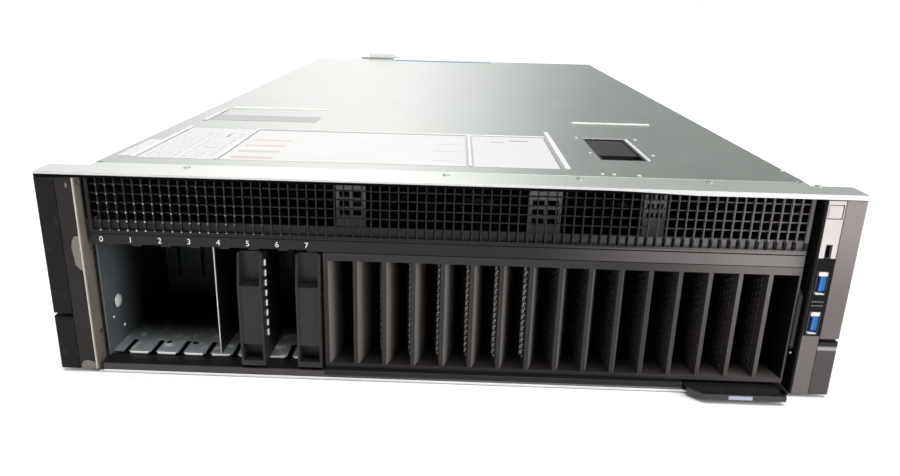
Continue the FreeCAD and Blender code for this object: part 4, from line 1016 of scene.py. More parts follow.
def torn_film(name):
    shade = new_shade(name)
    where = place_on(shade)
    x, z = along(shade, where, "X"), along(shade, where, "Z")
    ragged = noise(shade, where, 5.0, 6.0) - 0.5
    bare = 0.0
    for patch_x, patch_z, half_width, half_height in PATCHES:
        dx = (x - patch_x * MM) * (1 / (half_width * MM))
        dz = (z - patch_z * MM) * (1 / (half_height * MM))
        bare = bare + ((dx * dx + dz * dz + RAGGED * ragged) < 1.0)
    bare = shade.math("MINIMUM", bare, 1.0)
    black = mixed(shade, noise(shade, where, 30.0, 5.0), grey(0.005, 1.25, 0.95), grey(0.012, 1.3, 0.9))
    tone = mixed(shade, bare, black, grey(0.17, 1.1, 0.9))
    fine = noise(shade, where, 0.8, 2.0)
    return finished_material(
        shade, Base_Color=tone, Metallic=0.6 * bare, Roughness=0.5 - 0.1 * bare,
        Normal=bumped(shade, fine + 2.0 * (1.0 - bare), 0.05), Specular_IOR_Level=0.25)


stand_for(soften(clean_copy("left_ear_trim"), 0.3), "left_ear_trim", torn_film("torn_film"))
print("torn patches:", len(PATCHES))

# %% [markdown]
# ## Edges of cut sheet
# Where sheet is cut, its edge is bare and catches the light while the faces are dull; its brightness is
# partly bare metal and partly a painted highlight. The edge is far too narrow for a piece of its own, so
# a finish turns bright within a small depth of the front, and fades into the painted shadow of the
# chassis behind.

# %% Edged metal
EDGE_BLUR = 0.15


def sheet_grain(shade, where):
    return bumped(shade, noise(shade, where, 0.7, 2.0), 0.015)


def edged_metal(name, colour, edge, front, depth, shadow, limit=None):
    """Sheet with a bright edge within a depth of its front, left of a limit; the edge is partly a
    painted highlight.

    The sheet grows dull towards a shadow depth; all lengths are in millimetres.
    """
    shade = new_shade(name)
    where = place_on(shade)
    y = along(shade, where, "Y")
    cloud = noise(shade, where, 12.0, 5.0)
    # Bright front edge: partly bare metal and partly a painted highlight.
    bare = soft_step(shade, y, (front + depth) * MM, (front + 0.6 * depth) * MM)
    bare = bare * (0.75 + 0.5 * cloud)
    if limit:
        x = along(shade, where, "X")
        bare = bare * soft_step(shade, x, (limit + EDGE_BLUR) * MM, (limit - EDGE_BLUR) * MM)
    dull = mixed(shade, cloud, dimmed(colour, 0.75), colour)
    dull = mixed(shade, soft_step(shade, y, 0, shadow * MM), dull, dimmed(colour, 0.1))
    return finished_material(
        shade, Base_Color=mixed(shade, bare, dull, edge), Metallic=0.35,
        Roughness=0.42 + 0.15 * (cloud - 0.5), Normal=sheet_grain(shade, where))


print("edged_metal is ready")

# %% [markdown]
# ## Plate of the left ear
# The plate behind the left ear has a scatter of small holes, cut with short cylinders, and a bright cut
# edge on the side away from the bays, partly a painted highlight.

# %% Left ear plate
PLATE_HOLES = ((9.4, 80.1, 0.9), (1.6, 70.7, 0.7), (8.7, 66.1, 0.8), (1.5, 57.0, 0.7),
               (1.6, 41.3, 0.7), (9.4, 38.0, 0.7), (14.2, 23.9, 1.0), (9.2, 16.8, 1.0),
               (1.8, 19.4, 0.7), (7.2, 8.9, 1.2))
PLATE_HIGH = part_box("left_ear_bracket")[1] / MM
PLATE_HOLE_X = PLATE_HIGH.x - 3.0
PLATE_HOLE_LONG = 5.0
PLATE_EDGE = 0.25
PLATE_EDGE_LIMIT = PLATE_HIGH.x - 0.75

plate = clean_copy("left_ear_bracket")
for depth, height, radius in PLATE_HOLES:
    place = (PLATE_HOLE_X, GRIP_FACE + depth, height)
    cut(plate, disc("plate_hole", place, radius, PLATE_HOLE_LONG, "X", 12))
plate_finish = edged_metal("ear_plate", (0.23, 0.20, 0.17, 1.0), (0.55, 0.51, 0.44, 1.0),
                           GRIP_FACE, PLATE_EDGE, 60, PLATE_EDGE_LIMIT)
stand_for(soften(plate, 0.12, 1), "left_ear_bracket", plate_finish)
print("left plate holes:", len(PLATE_HOLES))

# %% [markdown]
# ## Front plastic with painted light
# Bar, grille and sill are the same black plastic, and all three look paler at their right ends, where
# the
# light from the right falls: painted light. Three colours could be mixed by hand, but one finish that
# grows paler from a place that each piece gives keeps them alike.

# %% Front plastic
def front_plastic(name, dark, pale, start, top=None, dim=None):
    """Black front plastic with painted light, paler from a place in millimetres to the right end.

    top is a painted-shade tone for upper faces, dim a box (x, low z, high z) with painted shade right of
    x.
    """
    shade = new_shade(name)
    where = place_on(shade)
    x = along(shade, where, "X")
    cloud = noise(shade, where, 30.0, 4.0)
    # Painted light from the right: paler towards the right end.
    painted_light_from_right = soft_step(shade, x, start * MM, CLEAR_HALF * MM) * (0.8 + 0.4 * cloud)
    tone = mixed(shade, painted_light_from_right, grey(dark, 1.15, 1.0), grey(pale, 1.1, 0.98))
    # Painted shade inside the dim box.
    if dim:
        z = along(shade, where, "Z")
        inside = (x > dim[0] * MM) * (z > dim[1] * MM) * (z < dim[2] * MM)
        tone = mixed(shade, inside, tone, grey(0.011, 1.15, 1.0))
    # Painted shade on upper faces.
    if top:
        tone = mixed(shade, facing(shade, "Z") > 0.6, tone, grey(top))
    return finished_material(
        shade, Base_Color=tone, Roughness=0.42 + 0.15 * (cloud - 0.5), Specular_IOR_Level=0.25,
        Normal=moulded(shade, where))


print("front_plastic is ready")

# %% [markdown]
# ## Number bar, grille and sill
# The bar over the bays has a comb of shallow notches along its lower edge, cut with one repeated slab,
# and a fine groove along its top, laid in as a thin black strip that is painted shade. The grille and
# the
# sill only take their finish: the foot of the grille and the sill under the filler get painted shade.

# %% Bar, grille and sill
BAR_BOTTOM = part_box("number_bar")[0].z / MM
NOTCH_WIDTH = 11.5
NOTCH_HEIGHT = 1.0
NOTCH_DEEP = 3
NOTCH_SHIFT = 1
GROOVE = (90.8, 91.5)
GROOVE_INSET = 0.6
GROOVE_PROUD = 0.05
GROOVE_DEEP = 0.2
GRILLE_FOOT_TOP = 98.9
# Box of the grille's foot that gets painted shade.
GRILLE_FOOT = (-215, 94.0, GRILLE_FOOT_TOP)
SILL_SHADE = (FILLER_LEFT, 2.9, 9.0)

bar = clean_copy("number_bar")
notch_x = slot_middle(0) + SLOT_PITCH / 2 + NOTCH_SHIFT
notches = slab("notches", (notch_x - NOTCH_WIDTH / 2, BAR_FACE - 1, BAR_BOTTOM - 1),
               (notch_x + NOTCH_WIDTH / 2, BAR_FACE + NOTCH_DEEP, BAR_BOTTOM + NOTCH_HEIGHT))
cut(bar, repeated(notches, OPEN_BAYS - 1, (SLOT_PITCH, 0, 0)))
stand_for(soften(bar, 0.3), "number_bar", front_plastic("bar_plastic", 0.009, 0.165, 40))
paint(pieces["front_grille"], front_plastic("grille_plastic", 0.009, 0.15, 90, dim=GRILLE_FOOT))
paint(pieces["front_sill"], front_plastic("sill_plastic", 0.046, 0.15, -150, 0.008, SILL_SHADE))
# The groove's black strip is painted shade.
groove = slab("bar_groove", (-CLEAR_HALF + GROOVE_INSET, BAR_FACE - GROOVE_PROUD, GROOVE[0]),
              (CLEAR_HALF - GROOVE_INSET, BAR_FACE + GROOVE_DEEP, GROOVE[1]))
place_piece(soften(groove, 0.04, 1), "chassis", "bezel_plastic", black_film)
print("notches:", OPEN_BAYS - 1)

# %% [markdown]
# ## Zinc of the drive cage
# The cage is bare zinc sheet. Its floor catches the light and glints, its walls are darker, and both
# sink into shadow towards the rear. One finish does for the whole cage, because it asks which way a
# face looks and how deep it lies.

# %% Bay zinc
def bay_zinc(name, wall, floor, glint, shadow):
    """Zinc sheet of the cage: a brighter floor with glints, and dark towards a shadow depth."""
    shade = new_shade(name)
    where = place_on(shade)
    y = along(shade, where, "Y")
    cloud = noise(shade, where, 12.0, 5.0)
    glints = soft_step(shade, noise(shade, where, 10.0, 4.0), 0.52, 0.7)
    walls = mixed(shade, cloud, dimmed(wall, 0.7), wall)
    floors = mixed(shade, glints, mixed(shade, cloud, dimmed(floor, 0.7), floor), glint)
    tone = mixed(shade, facing(shade, "Z") > WALL_ON, walls, floors)
    tone = mixed(shade, soft_step(shade, y, 0, shadow * MM), tone, dimmed(wall, 0.1))
    return finished_material(
        shade, Base_Color=tone, Metallic=0.35,
        Roughness=0.42 + 0.15 * (cloud - 0.5) - 0.1 * glints, Normal=sheet_grain(shade, where))


print("bay_zinc is ready")

# %% [markdown]
# ## Drive cage and divider
# The cage floor is open at the front where each drive slides in; the mouths are cut with one repeated
# slab. The divider is a thin sheet that shows little more than its bright cut edge, partly a painted
# highlight.

# %% Cage and divider
CAGE_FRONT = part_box("cage_divider")[0].y / MM
CAGE_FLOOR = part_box("cage_divider")[0].z / MM
MOUTH_HALF = 1.7
MOUTH_DEEP = 4
CAGE_SHADOW = 46
DIVIDER_SHADOW = 40
DIVIDER_EDGE = 0.6

cage = clean_copy("drive_cage")
mouths = slab("mouths", (slot_middle(0) - MOUTH_HALF, CAGE_FRONT - 2, CAGE_FLOOR - 2),
              (slot_middle(0) + MOUTH_HALF, CAGE_FRONT + MOUTH_DEEP, CAGE_FLOOR + 1))
cut(cage, repeated(mouths, OPEN_BAYS, (SLOT_PITCH, 0, 0)))
zinc = bay_zinc("cage_zinc", (0.115, 0.13, 0.138, 1.0), (0.36, 0.39, 0.405, 1.0),
                (0.9, 0.92, 0.93, 1.0), CAGE_SHADOW)
stand_for(soften(cage, 0.15), "drive_cage", zinc)
bright_edge = edged_metal("divider_edge", (0.03, 0.033, 0.033, 1.0), (0.7, 0.68, 0.62, 1.0),
                          CAGE_FRONT, DIVIDER_EDGE, DIVIDER_SHADOW)
stand_for(soften(clean_copy("cage_divider"), 0.15), "cage_divider", bright_edge)
print("mouths:", OPEN_BAYS)

# %% [markdown]
# ## Small steel parts in the bays
# The cage floor ends in bent tabs between the mouths, its left wall has a pressed dimple with a dark
# hole, and the floor carries round dark dents. The dimple is a disc whose face is inset and pushed in.

# %% Tabs, dimple and floor dents
TAB_WIDTH = 12.4
TAB_Y = (1.1, 0.35)
TAB_Z = (1.3, 0.2)
TAB_TAPER = 0.9
WALL_X = -CLEAR_HALF + 1.0
DIMPLE = (7, 37.7)
DIMPLE_SIZE = (4.4, 0.4)
WALL_HOLE = (2.6, 37.0)
WALL_HOLE_SIZE = (1.5, 0.6)
WALL_SPOTS = ((-1, 29.5, 0.8), (12, 18, 1.1))
SPOT_RISE = 0.5
DENT = (slot_middle(1) + 5.2, 8)
DENT_SIZE = (1.9, 0.25)
DENT_SINK = 0.1
DENT_COUNT = 3

tab_x = slot_middle(0) + SLOT_PITCH / 2
tabs = slab("floor_tabs", (tab_x - TAB_WIDTH / 2, CAGE_FRONT - TAB_Y[0], CAGE_FLOOR - TAB_Z[0]),
            (tab_x + TAB_WIDTH / 2, CAGE_FRONT - TAB_Y[1], CAGE_FLOOR + TAB_Z[1]))
taper(tabs, looking("Z", -1), (TAB_TAPER, 1, 1))
soften(tabs, 0.3)
repeated(tabs, OPEN_BAYS - 1, (SLOT_PITCH, 0, 0))
place_piece(tabs, "chassis", "spring_steel", tin)

# The dimple's pale tone is partly a painted highlight.
dull_tin = plastic("dull_tin", grey(0.6), 0.25, gloss=1.0)
dimple = disc("wall_dimple", (WALL_X, *DIMPLE), *DIMPLE_SIZE, "X", 28)
dish(dimple, looking("X"), 0.9, (0.7, 0, 0))
dish(dimple, looking("X", least=0.99), 1.4, (0.35, 0, 0))
place_piece(soften(dimple, 0.5, 3), "chassis", "spring_steel", dull_tin)
spots = [disc("spot", (WALL_X, y, z), radius, SPOT_RISE, "X", 16) for y, z, radius in WALL_SPOTS]
place_piece(soften(together(spots, "wall_spots"), 0.2), "chassis", "spring_steel", tin)
hole = disc("wall_hole", (WALL_X, *WALL_HOLE), *WALL_HOLE_SIZE, "X", 16)
dish(hole, looking("X"), 0.5, (-0.4, 0, 0))
place_piece(soften(hole, 0.1, 1), "chassis", "spring_steel", black_film)

dents = disc("floor_dents", (*DENT, CAGE_FLOOR - DENT_SINK), *DENT_SIZE, "Z", 20)
dish(dents, looking("Z"), 0.5, (0, 0, -0.15))
repeated(soften(dents, 0.1, 1), DENT_COUNT, (SLOT_PITCH, 0, 0))
place_piece(dents, "chassis", "cage_steel", black_film)
print("tabs:", OPEN_BAYS - 1, "dents:", DENT_COUNT)

# %% [markdown]
# ## Grille crossings
# Light catches the moulded corners where the grille bars cross, most of all at the left. A low pyramid
# at each crossing gives that sparkle with five faces, and its finish paints it as a highlight: pale
# spots at the left, strongest low down, dark in the middle, and painted light again towards the right
# end.

# %% Crossings
GRILLE_LOW, GRILLE_HIGH = (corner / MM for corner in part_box("front_grille"))
COLUMNS = 78
ROWS = 6
SIDE_FRAME = 1.6
TOP_FRAME = 1.0
BOTTOM_FRAME = 1.0
CELL_X = (2 * CLEAR_HALF - 2 * SIDE_FRAME) / COLUMNS
CELL_Z = (GRILLE_HIGH.z - GRILLE_LOW.z - TOP_FRAME - BOTTOM_FRAME) / ROWS
FIRST_BAR = GRILLE_LOW.x + SIDE_FRAME + CELL_X
CROSSING = (0.65, 0.25, 0.4)
SPARKLE_X = (-70, -200)
RIGHT_LIGHT_X = (90, 214)


def corner_finish(name):
    shade = new_shade(name)
    where = place_on(shade)
    x, z = along(shade, where, "X"), along(shade, where, "Z")
    spots = soft_step(shade, noise(shade, where, 14.0, 4.0), 0.3, 0.6)
    lower = soft_step(shade, z, GRILLE_HIGH.z * MM, GRILLE_LOW.z * MM, 0.25, 1.0)
    sparkle = soft_step(shade, x, SPARKLE_X[0] * MM, SPARKLE_X[1] * MM) * spots * lower
    # Painted highlight at the left crossings and painted light at the right end.
    ends = sparkle + 0.3 * soft_step(shade, x, RIGHT_LIGHT_X[0] * MM, RIGHT_LIGHT_X[1] * MM)
    tone = mixed(shade, ends, grey(0.012), grey(0.62, 1.02, 0.98))
    return finished_material(shade, Base_Color=tone, Roughness=0.3)


foot, tip, tall = (size * MM for size in CROSSING)
bpy.ops.object.select_all(action="DESELECT")
bpy.ops.mesh.primitive_cone_add(
    vertices=4, radius1=foot, radius2=tip, depth=tall, rotation=TURNS["Y"],
    location=mm(FIRST_BAR, GRILLE_LOW.y - CROSSING[2] / 2, GRILLE_LOW.z + BOTTOM_FRAME))
settle()
crossings = bpy.context.object
crossings.name = "grille_corners"
repeated(crossings, COLUMNS - 1, (CELL_X, 0, 0))
repeated(crossings, ROWS, (0, 0, CELL_Z))
place_piece(crossings, "chassis", "bezel_plastic", corner_finish("grille_corners"))
print("crossings:", len(crossings.data.polygons), "faces")

# %% [markdown]
# ## Shelf behind the grille
# A grey shelf shows through the lowest row of holes and gets painted light towards its right end.
# Narrow black posts part it, one beside each bar: painted shade for the dark sides of the bars. One post
# is rounded and repeated.

# %% Shelf and its gaps
SHELF_X = (-CLEAR_HALF + 1, CLEAR_HALF - 1)
SHELF_Y = (0.05, 0.25)
SHELF_FOOT = 0.3
SHELF_SHARE = 0.9
SHELF_RIGHT_LIGHT = (60, 160)
GAP = (-1.1, -0.1)
GAP_Y = (-0.5, 0.04)
GAP_FOOT = 0.4


def lit_shelf(name):
    """Grey shelf behind the lowest row, with painted light towards its right end."""
    shade = new_shade(name)
    where = place_on(shade)
    x = along(shade, where, "X")
    cloud = noise(shade, where, 8.0, 5.0)
    # Painted light from the right.
    right_painted_light = soft_step(shade, x, SHELF_RIGHT_LIGHT[0] * MM, SHELF_RIGHT_LIGHT[1] * MM) * (0.7 + 0.5 * cloud)
    tone = mixed(shade, right_painted_light, grey(0.05), grey(0.34, 1.06, 0.98))
    return finished_material(shade, Base_Color=tone, Roughness=0.6, Specular_IOR_Level=0.2)


hole_foot = GRILLE_LOW.z + BOTTOM_FRAME
shelf = slab("grille_shelf", (SHELF_X[0], GRILLE_HIGH.y + SHELF_Y[0], GRILLE_LOW.z + SHELF_FOOT),
             (SHELF_X[1], GRILLE_HIGH.y + SHELF_Y[1], hole_foot + CELL_Z * SHELF_SHARE))
place_piece(soften(shelf, 0.08, 1), "chassis", "bezel_plastic", lit_shelf("grille_shelf"))
# The black posts are painted shade for the dark sides of the bars.
bar_shade_posts = slab("bar_side_shade", (FIRST_BAR + GAP[0], GRILLE_HIGH.y + GAP_Y[0], GRILLE_LOW.z + GAP_FOOT),
            (FIRST_BAR + GAP[1], GRILLE_HIGH.y + GAP_Y[1], hole_foot + CELL_Z))
repeated(soften(bar_shade_posts, 0.05, 1), COLUMNS - 1, (CELL_X, 0, 0))
place_piece(bar_shade_posts, "chassis", "bezel_plastic", black_film)
print("shelf gaps:", COLUMNS - 1)

# %% [markdown]
# ## Brackets behind the grille
# Three ladder-shaped brackets stand behind the grille and show as paler fields. Each is a slab with two
# columns of windows; one window is repeated sideways and upwards and cut away in one go.

# %% Brackets
LADDERS = ((-69.8, -50.9, 97.0), (53.0, 73.5, 95.0), (125.0, 139.0, 101.0))
LADDER_TOP = 117.0
LADDER_FOOT = 12
LADDER_Y = 18.0
LADDER_DEEP = 3
LADDER_RAIL = 2
LADDER_WEB_HALF = 0.8
WINDOW_TALL = 4
WINDOW_STEP = 6
WINDOW_ROWS = 3


def ladder(left, right, bottom):
    half = (right - left) / 2
    obj = slab("ladder", (left, LADDER_Y, bottom - LADDER_FOOT),
               (right, LADDER_Y + LADDER_DEEP, LADDER_TOP))
    window = slab("window", (left + LADDER_RAIL, LADDER_Y - 1, bottom),
                  (left + half - LADDER_WEB_HALF, LADDER_Y + LADDER_DEEP + 1, bottom + WINDOW_TALL))
    repeated(window, 2, (half - (LADDER_RAIL - LADDER_WEB_HALF), 0, 0))
    repeated(window, WINDOW_ROWS, (0, 0, WINDOW_STEP))
    return soften(cut(obj, window), 0.3)


bracket_grey = plastic("bracket_grey", grey(0.26, 1.05, 1.0), 0.5)
ladders = together([ladder(*spec) for spec in LADDERS], "fan_ladders")
place_piece(ladders, "chassis", "fan_plastic", bracket_grey)
print("brackets:", len(LADDERS))

# %% [markdown]
# ## Print on paper
# White service sheets lie in the pressed field of the cover. Their print is made of plain boxes, lines
# and pale stripes in the finish, because a drawn mark needs no shape of its own. Each mark is a box in
# millimetres and a colour.

# %% Printed paper
FIELD_FLOOR = 129.6
COVER_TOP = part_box("top_cover")[1].z / MM
PAPER = grey(0.56, 1.0, 0.985)
PAPER_LIGHT = grey(0.62)
PAPER_SHEET = 0.15
INK = grey(0.10, 1.0, 1.05)
PALE_INK = grey(0.36)
NOTE_GREY = grey(0.34)
ORANGE = (0.52, 0.36, 0.30, 1.0)
BLUE = (0.05, 0.15, 0.35, 1.0)


def printed(name, marks):
    """White paper with marks (x, y, half width, half height, line, colour); line 0 fills the box."""
    shade = new_shade(name)
    where = place_on(shade)
    x, y = along(shade, where, "X"), along(shade, where, "Y")
    cloud = noise(shade, where, 25.0, 4.0)
    tone = mixed(shade, cloud, PAPER, PAPER_LIGHT)
    for mark_x, mark_y, half_x, half_y, line, colour in marks:
        far = shade.math("MAXIMUM", abs(x - mark_x * MM) - half_x * MM,
                         abs(y - mark_y * MM) - half_y * MM)
        inside = far < 0.0
        if line:
            inside = inside * (far > -line * MM)
        tone = mixed(shade, inside * (0.45 + 0.5 * cloud), tone, colour)
    return finished_material(shade, Base_Color=tone, Roughness=0.45, Specular_IOR_Level=0.5)


def sheet(name, low, high, level, marks):
    obj = slab(name, (*low, level), (*high, level + PAPER_SHEET))
    return place_piece(soften(obj, 0.06, 1), "cover", "cover_steel", printed(name, marks))


print("paper is ready")

# %% [markdown]
# ## Sheets on the cover
# Three sheets fill the field: one with two columns of small drawings, one with orange stripes, one with
# short notes. A narrow sheet lies at the left edge and a grey note behind. The marks only give the
# rhythm of the print, and rows of them come from loops.

# %% Sheets
FIELD_Y = (26, 133)
DRAWINGS_X = (-186, -163)
drawings = [(x, 40 + 22 * row, 9, 8, 0.5, INK) for x in DRAWINGS_X for row in range(4)]
drawings += [(-186, 40, 4, 3, 0.5, INK), (-163, 62, 5, 2, 0, PALE_INK), (-186, 84, 3, 5, 0.5, INK),
             (-163, 106, 1.2, 6, 0, BLUE), (-186, 62, 6, 1, 0, PALE_INK), (-163, 40, 2, 5, 0.5, INK)]
stripes = [(-127, 34 + 19 * row, 14, 3.4 - 0.4 * row, 0, ORANGE) for row in range(4)]
stripes += [(0, 40 + 30 * row, 10, 0.9, 0, PALE_INK) for row in range(2)]
stripes += [(0, 94, 10, 0.9, 0, ORANGE), (-67, 130.8, 80, 1.9, 0, INK)]
notes = [(45, 131, 28, 1.6, 0, INK), (36, 108, 5, 1.2, 0, INK), (52, 114, 7, 1.6, 0, INK),
         (44, 60, 22, 0.4, 0, PALE_INK)]
# One layer of print lets much of the white through, so the grey is laid on twice.
twice_grey = [(-154.5, 184.7, 43.5, 12.8, 0, NOTE_GREY)] * 2
sheet("diagram_sheet", (-199.5, FIELD_Y[0]), (-150, FIELD_Y[1]), FIELD_FLOOR, drawings)
sheet("stripe_sheet", (-146, FIELD_Y[0]), (12.5, FIELD_Y[1]), FIELD_FLOOR, stripes)
sheet("marks_sheet", (17.5, FIELD_Y[0]), (72, FIELD_Y[1]), FIELD_FLOOR, notes)
sheet("edge_sheet", (-212.5, 28), (-203.5, 82), COVER_TOP, [])
sheet("grey_note", (-198.0, 172.0), (-111.0, 197.5), FIELD_FLOOR, twice_grey)
print("marks:", len(drawings) + len(stripes) + len(notes))

# %% [markdown]
# ## Ridges, rivets and bumps
# Pressed ridges part the sheets, a bead stiffens the cover behind its latch, and small rivets and bumps
# sit on the hood and the cover. Each is a slab or a disc rounded until it looks pressed. The ridges, the
# bead and the bumps on the cover are painted pale, a painted highlight where they catch the light. A
# dark seam runs along the right edge, where the cover meets the side wall.

# %% Ridges, rivets, bumps and seam
RIDGES = ((-149.0, 26, -147.0, 133), (14.0, 26, 16.0, 133), (75.0, 26, 78.6, 152),
          (105.0, 199.5, 171.0, 205.0), (-198.0, 233.5, -111.0, 239.0), (-203.2, 26, -200.2, 138),
          (-203.2, 168, -200.2, 226), (134.4, 57, 136.4, 131))
RIDGE_RISE = 0.6
HOOD_RIVET = (2.1, 0.5)
COVER_BUMP = (1.2, 0.6)
RIVETS = ((-157, 0.5), (0, 0.5), (80, 0.5), (157, 0.5), (220.5, -1))
BUMPS = ((96, 13.7), (103, 13.3), (118, 11.7), (98, 133), (142.6, 130), (99, 76.6), (142, 73),
         (215.2, 37))
COVER_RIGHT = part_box("top_cover")[1].x / MM
SEAM_X = (0.7, 0.05)
SEAM_Y = (9.0, 778.0)
SEAM_Z = (0.4, 0.05)


def ridge(left, front, right, rear):
    obj = slab("ridge", (left, front, FIELD_FLOOR), (right, rear, COVER_TOP + RIDGE_RISE))
    return soften(obj, 0.4, 3)


def button_head(place, radius, height):
    """A low round head with a sunk middle."""
    obj = disc("head", (*place, COVER_TOP), radius, height)
    dish(obj, looking("Z"), radius * 0.55, (0, 0, -height * 0.5))
    return soften(obj, height * 0.3)


# Pale finish for ridges, bumps and the floor lip: a painted highlight.
painted_highlight_steel = plastic("bright_steel", grey(0.68, 1.0, 0.98), 0.4, 0.01, 0.2, 0.8)
seam_grey = plastic("seam_grey", grey(0.05), 0.5)
ridges = together([ridge(*spec) for spec in RIDGES], "cover_ridges")
place_piece(ridges, "cover", "cover_steel", painted_highlight_steel)
rivets = together([button_head(place, *HOOD_RIVET) for place in RIVETS], "hood_rivets")
place_piece(rivets, "chassis", "cover_steel")
bumps = together([button_head(place, *COVER_BUMP) for place in BUMPS], "cover_bumps")
place_piece(bumps, "cover", "cover_steel", painted_highlight_steel)
seam = slab("cover_seam", (COVER_RIGHT - SEAM_X[0], SEAM_Y[0], COVER_TOP - SEAM_Z[0]),
            (COVER_RIGHT - SEAM_X[1], SEAM_Y[1], COVER_TOP + SEAM_Z[1]))
place_piece(soften(seam, 0.05, 1), "cover", "cover_steel", seam_grey)
print("ridges:", len(RIDGES), "rivets:", len(RIVETS), "bumps:", len(BUMPS))

# %% [markdown]
# ## Front edge strips
# The chassis floor ends in a rolled lip under the sill, painted bright as a painted highlight, and a
# clip and a screw stand in the dark gap beside the right panel. A dark patch covers the floor's corner
# beside the tag, and the tag carries a pale blue label on its rim.

# %% Front lip, clip, screw, patch and tag label
SILL_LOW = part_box("front_sill")[0] / MM
TAG_LOW, TAG_HIGH = (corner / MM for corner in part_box("info_tag"))
FLOOR_LIFT = 0.05
LIP_TOP = 1.5
LIP_Y = (0.5, 0.4)
LIP_UNDER_TAG = 6
CLIP = ((213.3, -17.0, 29.0), (216.8, -12.0, 69.0))
CLIP_TAPER = (0.6, 1, 0.86)
PANEL_SCREW = (214.8, -16.5, 28.5)
PANEL_SCREW_SIZE = (0.8, 0.5)
PATCH_GAP = 0.4
PATCH_RIGHT = 216.9
PATCH_Y = (0.3, 4)
PATCH_TOP = 1.2
LABEL_X = (175.5, 190.0)
LABEL_Y = (0.12, 0.1)
LABEL_Z = (0.5, 0.6)

# The lip's pale finish is a painted highlight.
lip = slab("floor_lip", (SILL_LOW.x, SILL_LOW.y - LIP_Y[0], FLOOR_LIFT),
           (TAG_LOW.x + LIP_UNDER_TAG, SILL_LOW.y + LIP_Y[1], LIP_TOP))
place_piece(soften(lip, 0.4, 3), "chassis", "chassis_steel", painted_highlight_steel)

clip = slab("panel_clip", *CLIP)
taper(clip, looking("Y", -1), CLIP_TAPER)
clip_grey = plastic("clip_grey", grey(0.03, 1.1, 1.0), 0.45)
place_piece(soften(clip, 0.4), "chassis", "ear_plastic", clip_grey)
screw = disc("panel_screw", PANEL_SCREW, *PANEL_SCREW_SIZE, "Y", 16)
dish(screw, looking("Y", -1), 0.4, (0, 0.2, 0))
place_piece(soften(screw, 0.12), "chassis", "pin_steel")

patch = slab("corner_patch", (TAG_HIGH.x + PATCH_GAP, SILL_LOW.y - PATCH_Y[0], FLOOR_LIFT),
             (PATCH_RIGHT, SILL_LOW.y + PATCH_Y[1], PATCH_TOP))
place_piece(soften(patch, 0.2), "chassis", "ear_plastic", black_film)
label = slab("tag_label", (LABEL_X[0], TAG_LOW.y - LABEL_Y[0], TAG_LOW.z + LABEL_Z[0]),
             (LABEL_X[1], TAG_LOW.y + LABEL_Y[1], TAG_HIGH.z - LABEL_Z[1]))
label_blue = plastic("label_blue", (0.36, 0.39, 0.48, 1.0), 0.4, 0.006, 0.2, 0.5)
place_piece(soften(label, 0.08, 1), "info_tag", "tag_plastic", label_blue)
print("front strips are in place")

# %% [markdown]
# ## Seals under the hood
# Black seals close the slit between the stepped side walls and the ears under the hood; without them
# daylight would show behind the ends of the grille. Their black is painted shade. Each side has one long
# seal and one at the end of the grille, made from the same numbers with the sign of X turned.

# %% Seals
HOOD_LOW, HOOD_HIGH = (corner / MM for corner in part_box("front_hood"))
STEP_X = (215.55, 216.95)
STEP_Z = (117.8, 128.7)
STEP_FRONT = -1.0
END_X = (214.2, 216.95)
END_REAR = -1.05
END_TOP = STEP_Z[1] - 0.4
SEAL_GAP = 0.1


def seal(name, side, span, front, rear, low_z, high_z, rounding):
    left, right = sorted(side * edge for edge in span)
    return soften(slab(name, (left, front, low_z), (right, rear, high_z)), rounding)


seals = []
for side in (-1, 1):
    seals.append(seal("seal", side, STEP_X, STEP_FRONT, HOOD_HIGH.y - SEAL_GAP, *STEP_Z, 0.3))
    seals.append(seal("end_seal", side, END_X, GRILLE_HIGH.y + SEAL_GAP, END_REAR,
                      GRILLE_FOOT_TOP, END_TOP, 0.1))
# The seals' black is painted shade in the slit.
seal_shade_black = plastic("seal_painted_shade", grey(0.004), 0.9, 0.08, 0.1, 0.05)
place_piece(together(seals, "hood_seals"), "chassis", "bezel_plastic", seal_shade_black)
print("seals:", len(seals))

# %% [markdown]
# ## Hood
# The hood is the brightest sheet of the machine. Its front lip is folded under, less so at the right,
# and the fold lies in shadow. The fold is less than two millimetres tall, so the finish is simply black
# under a line that sinks to the right.

# %% Hood
HOOD_LIP = (0.7, 0.2)
FOLD_X = (90, 165)
FOLD_Z = (128.7, 126.8)
FOLD_BLUR = 0.2


def hood_steel(name):
    shade = new_shade(name)
    where = place_on(shade)
    x, y, z = (along(shade, where, axis) for axis in "XYZ")
    front = soft_step(shade, y, *((HOOD_LOW.y + edge) * MM for edge in HOOD_LIP))
    folded = soft_step(shade, x, *(value * MM for value in FOLD_X + FOLD_Z))
    shadow = front * soft_step(shade, z - folded, FOLD_BLUR * MM, -FOLD_BLUR * MM)
    cloud = noise(shade, where, SHEET_CLOUD, 5.0)
    rolled = noise(shade, stretched(shade, where, (ROLL_STRETCH, 1.0, 1.0)), ROLL_SIZE, 2.0)
    top = mixed(shade, cloud, grey(0.78, 0.98, 0.97), grey(0.86, 0.98, 0.97))
    lit = mixed(shade, front, top, grey(0.64))
    return finished_material(
        shade, Base_Color=mixed(shade, shadow, lit, grey(0.004)), Metallic=1.0,
        Roughness=0.4 + 0.06 * (rolled - 0.5), Normal=bumped(shade, rolled + cloud, 0.01, 0.3))


paint(pieces["front_hood"], hood_steel("hood_steel"))
print("hood front at", round(HOOD_LOW.y, 2), "mm")

# %% [markdown]
# ## Vents of the power supplies
# Each supply breathes through a plate of six-sided holes beside its inlet. The holes could be drawn in
# the finish, but a cut plate shows its thickness from the side.

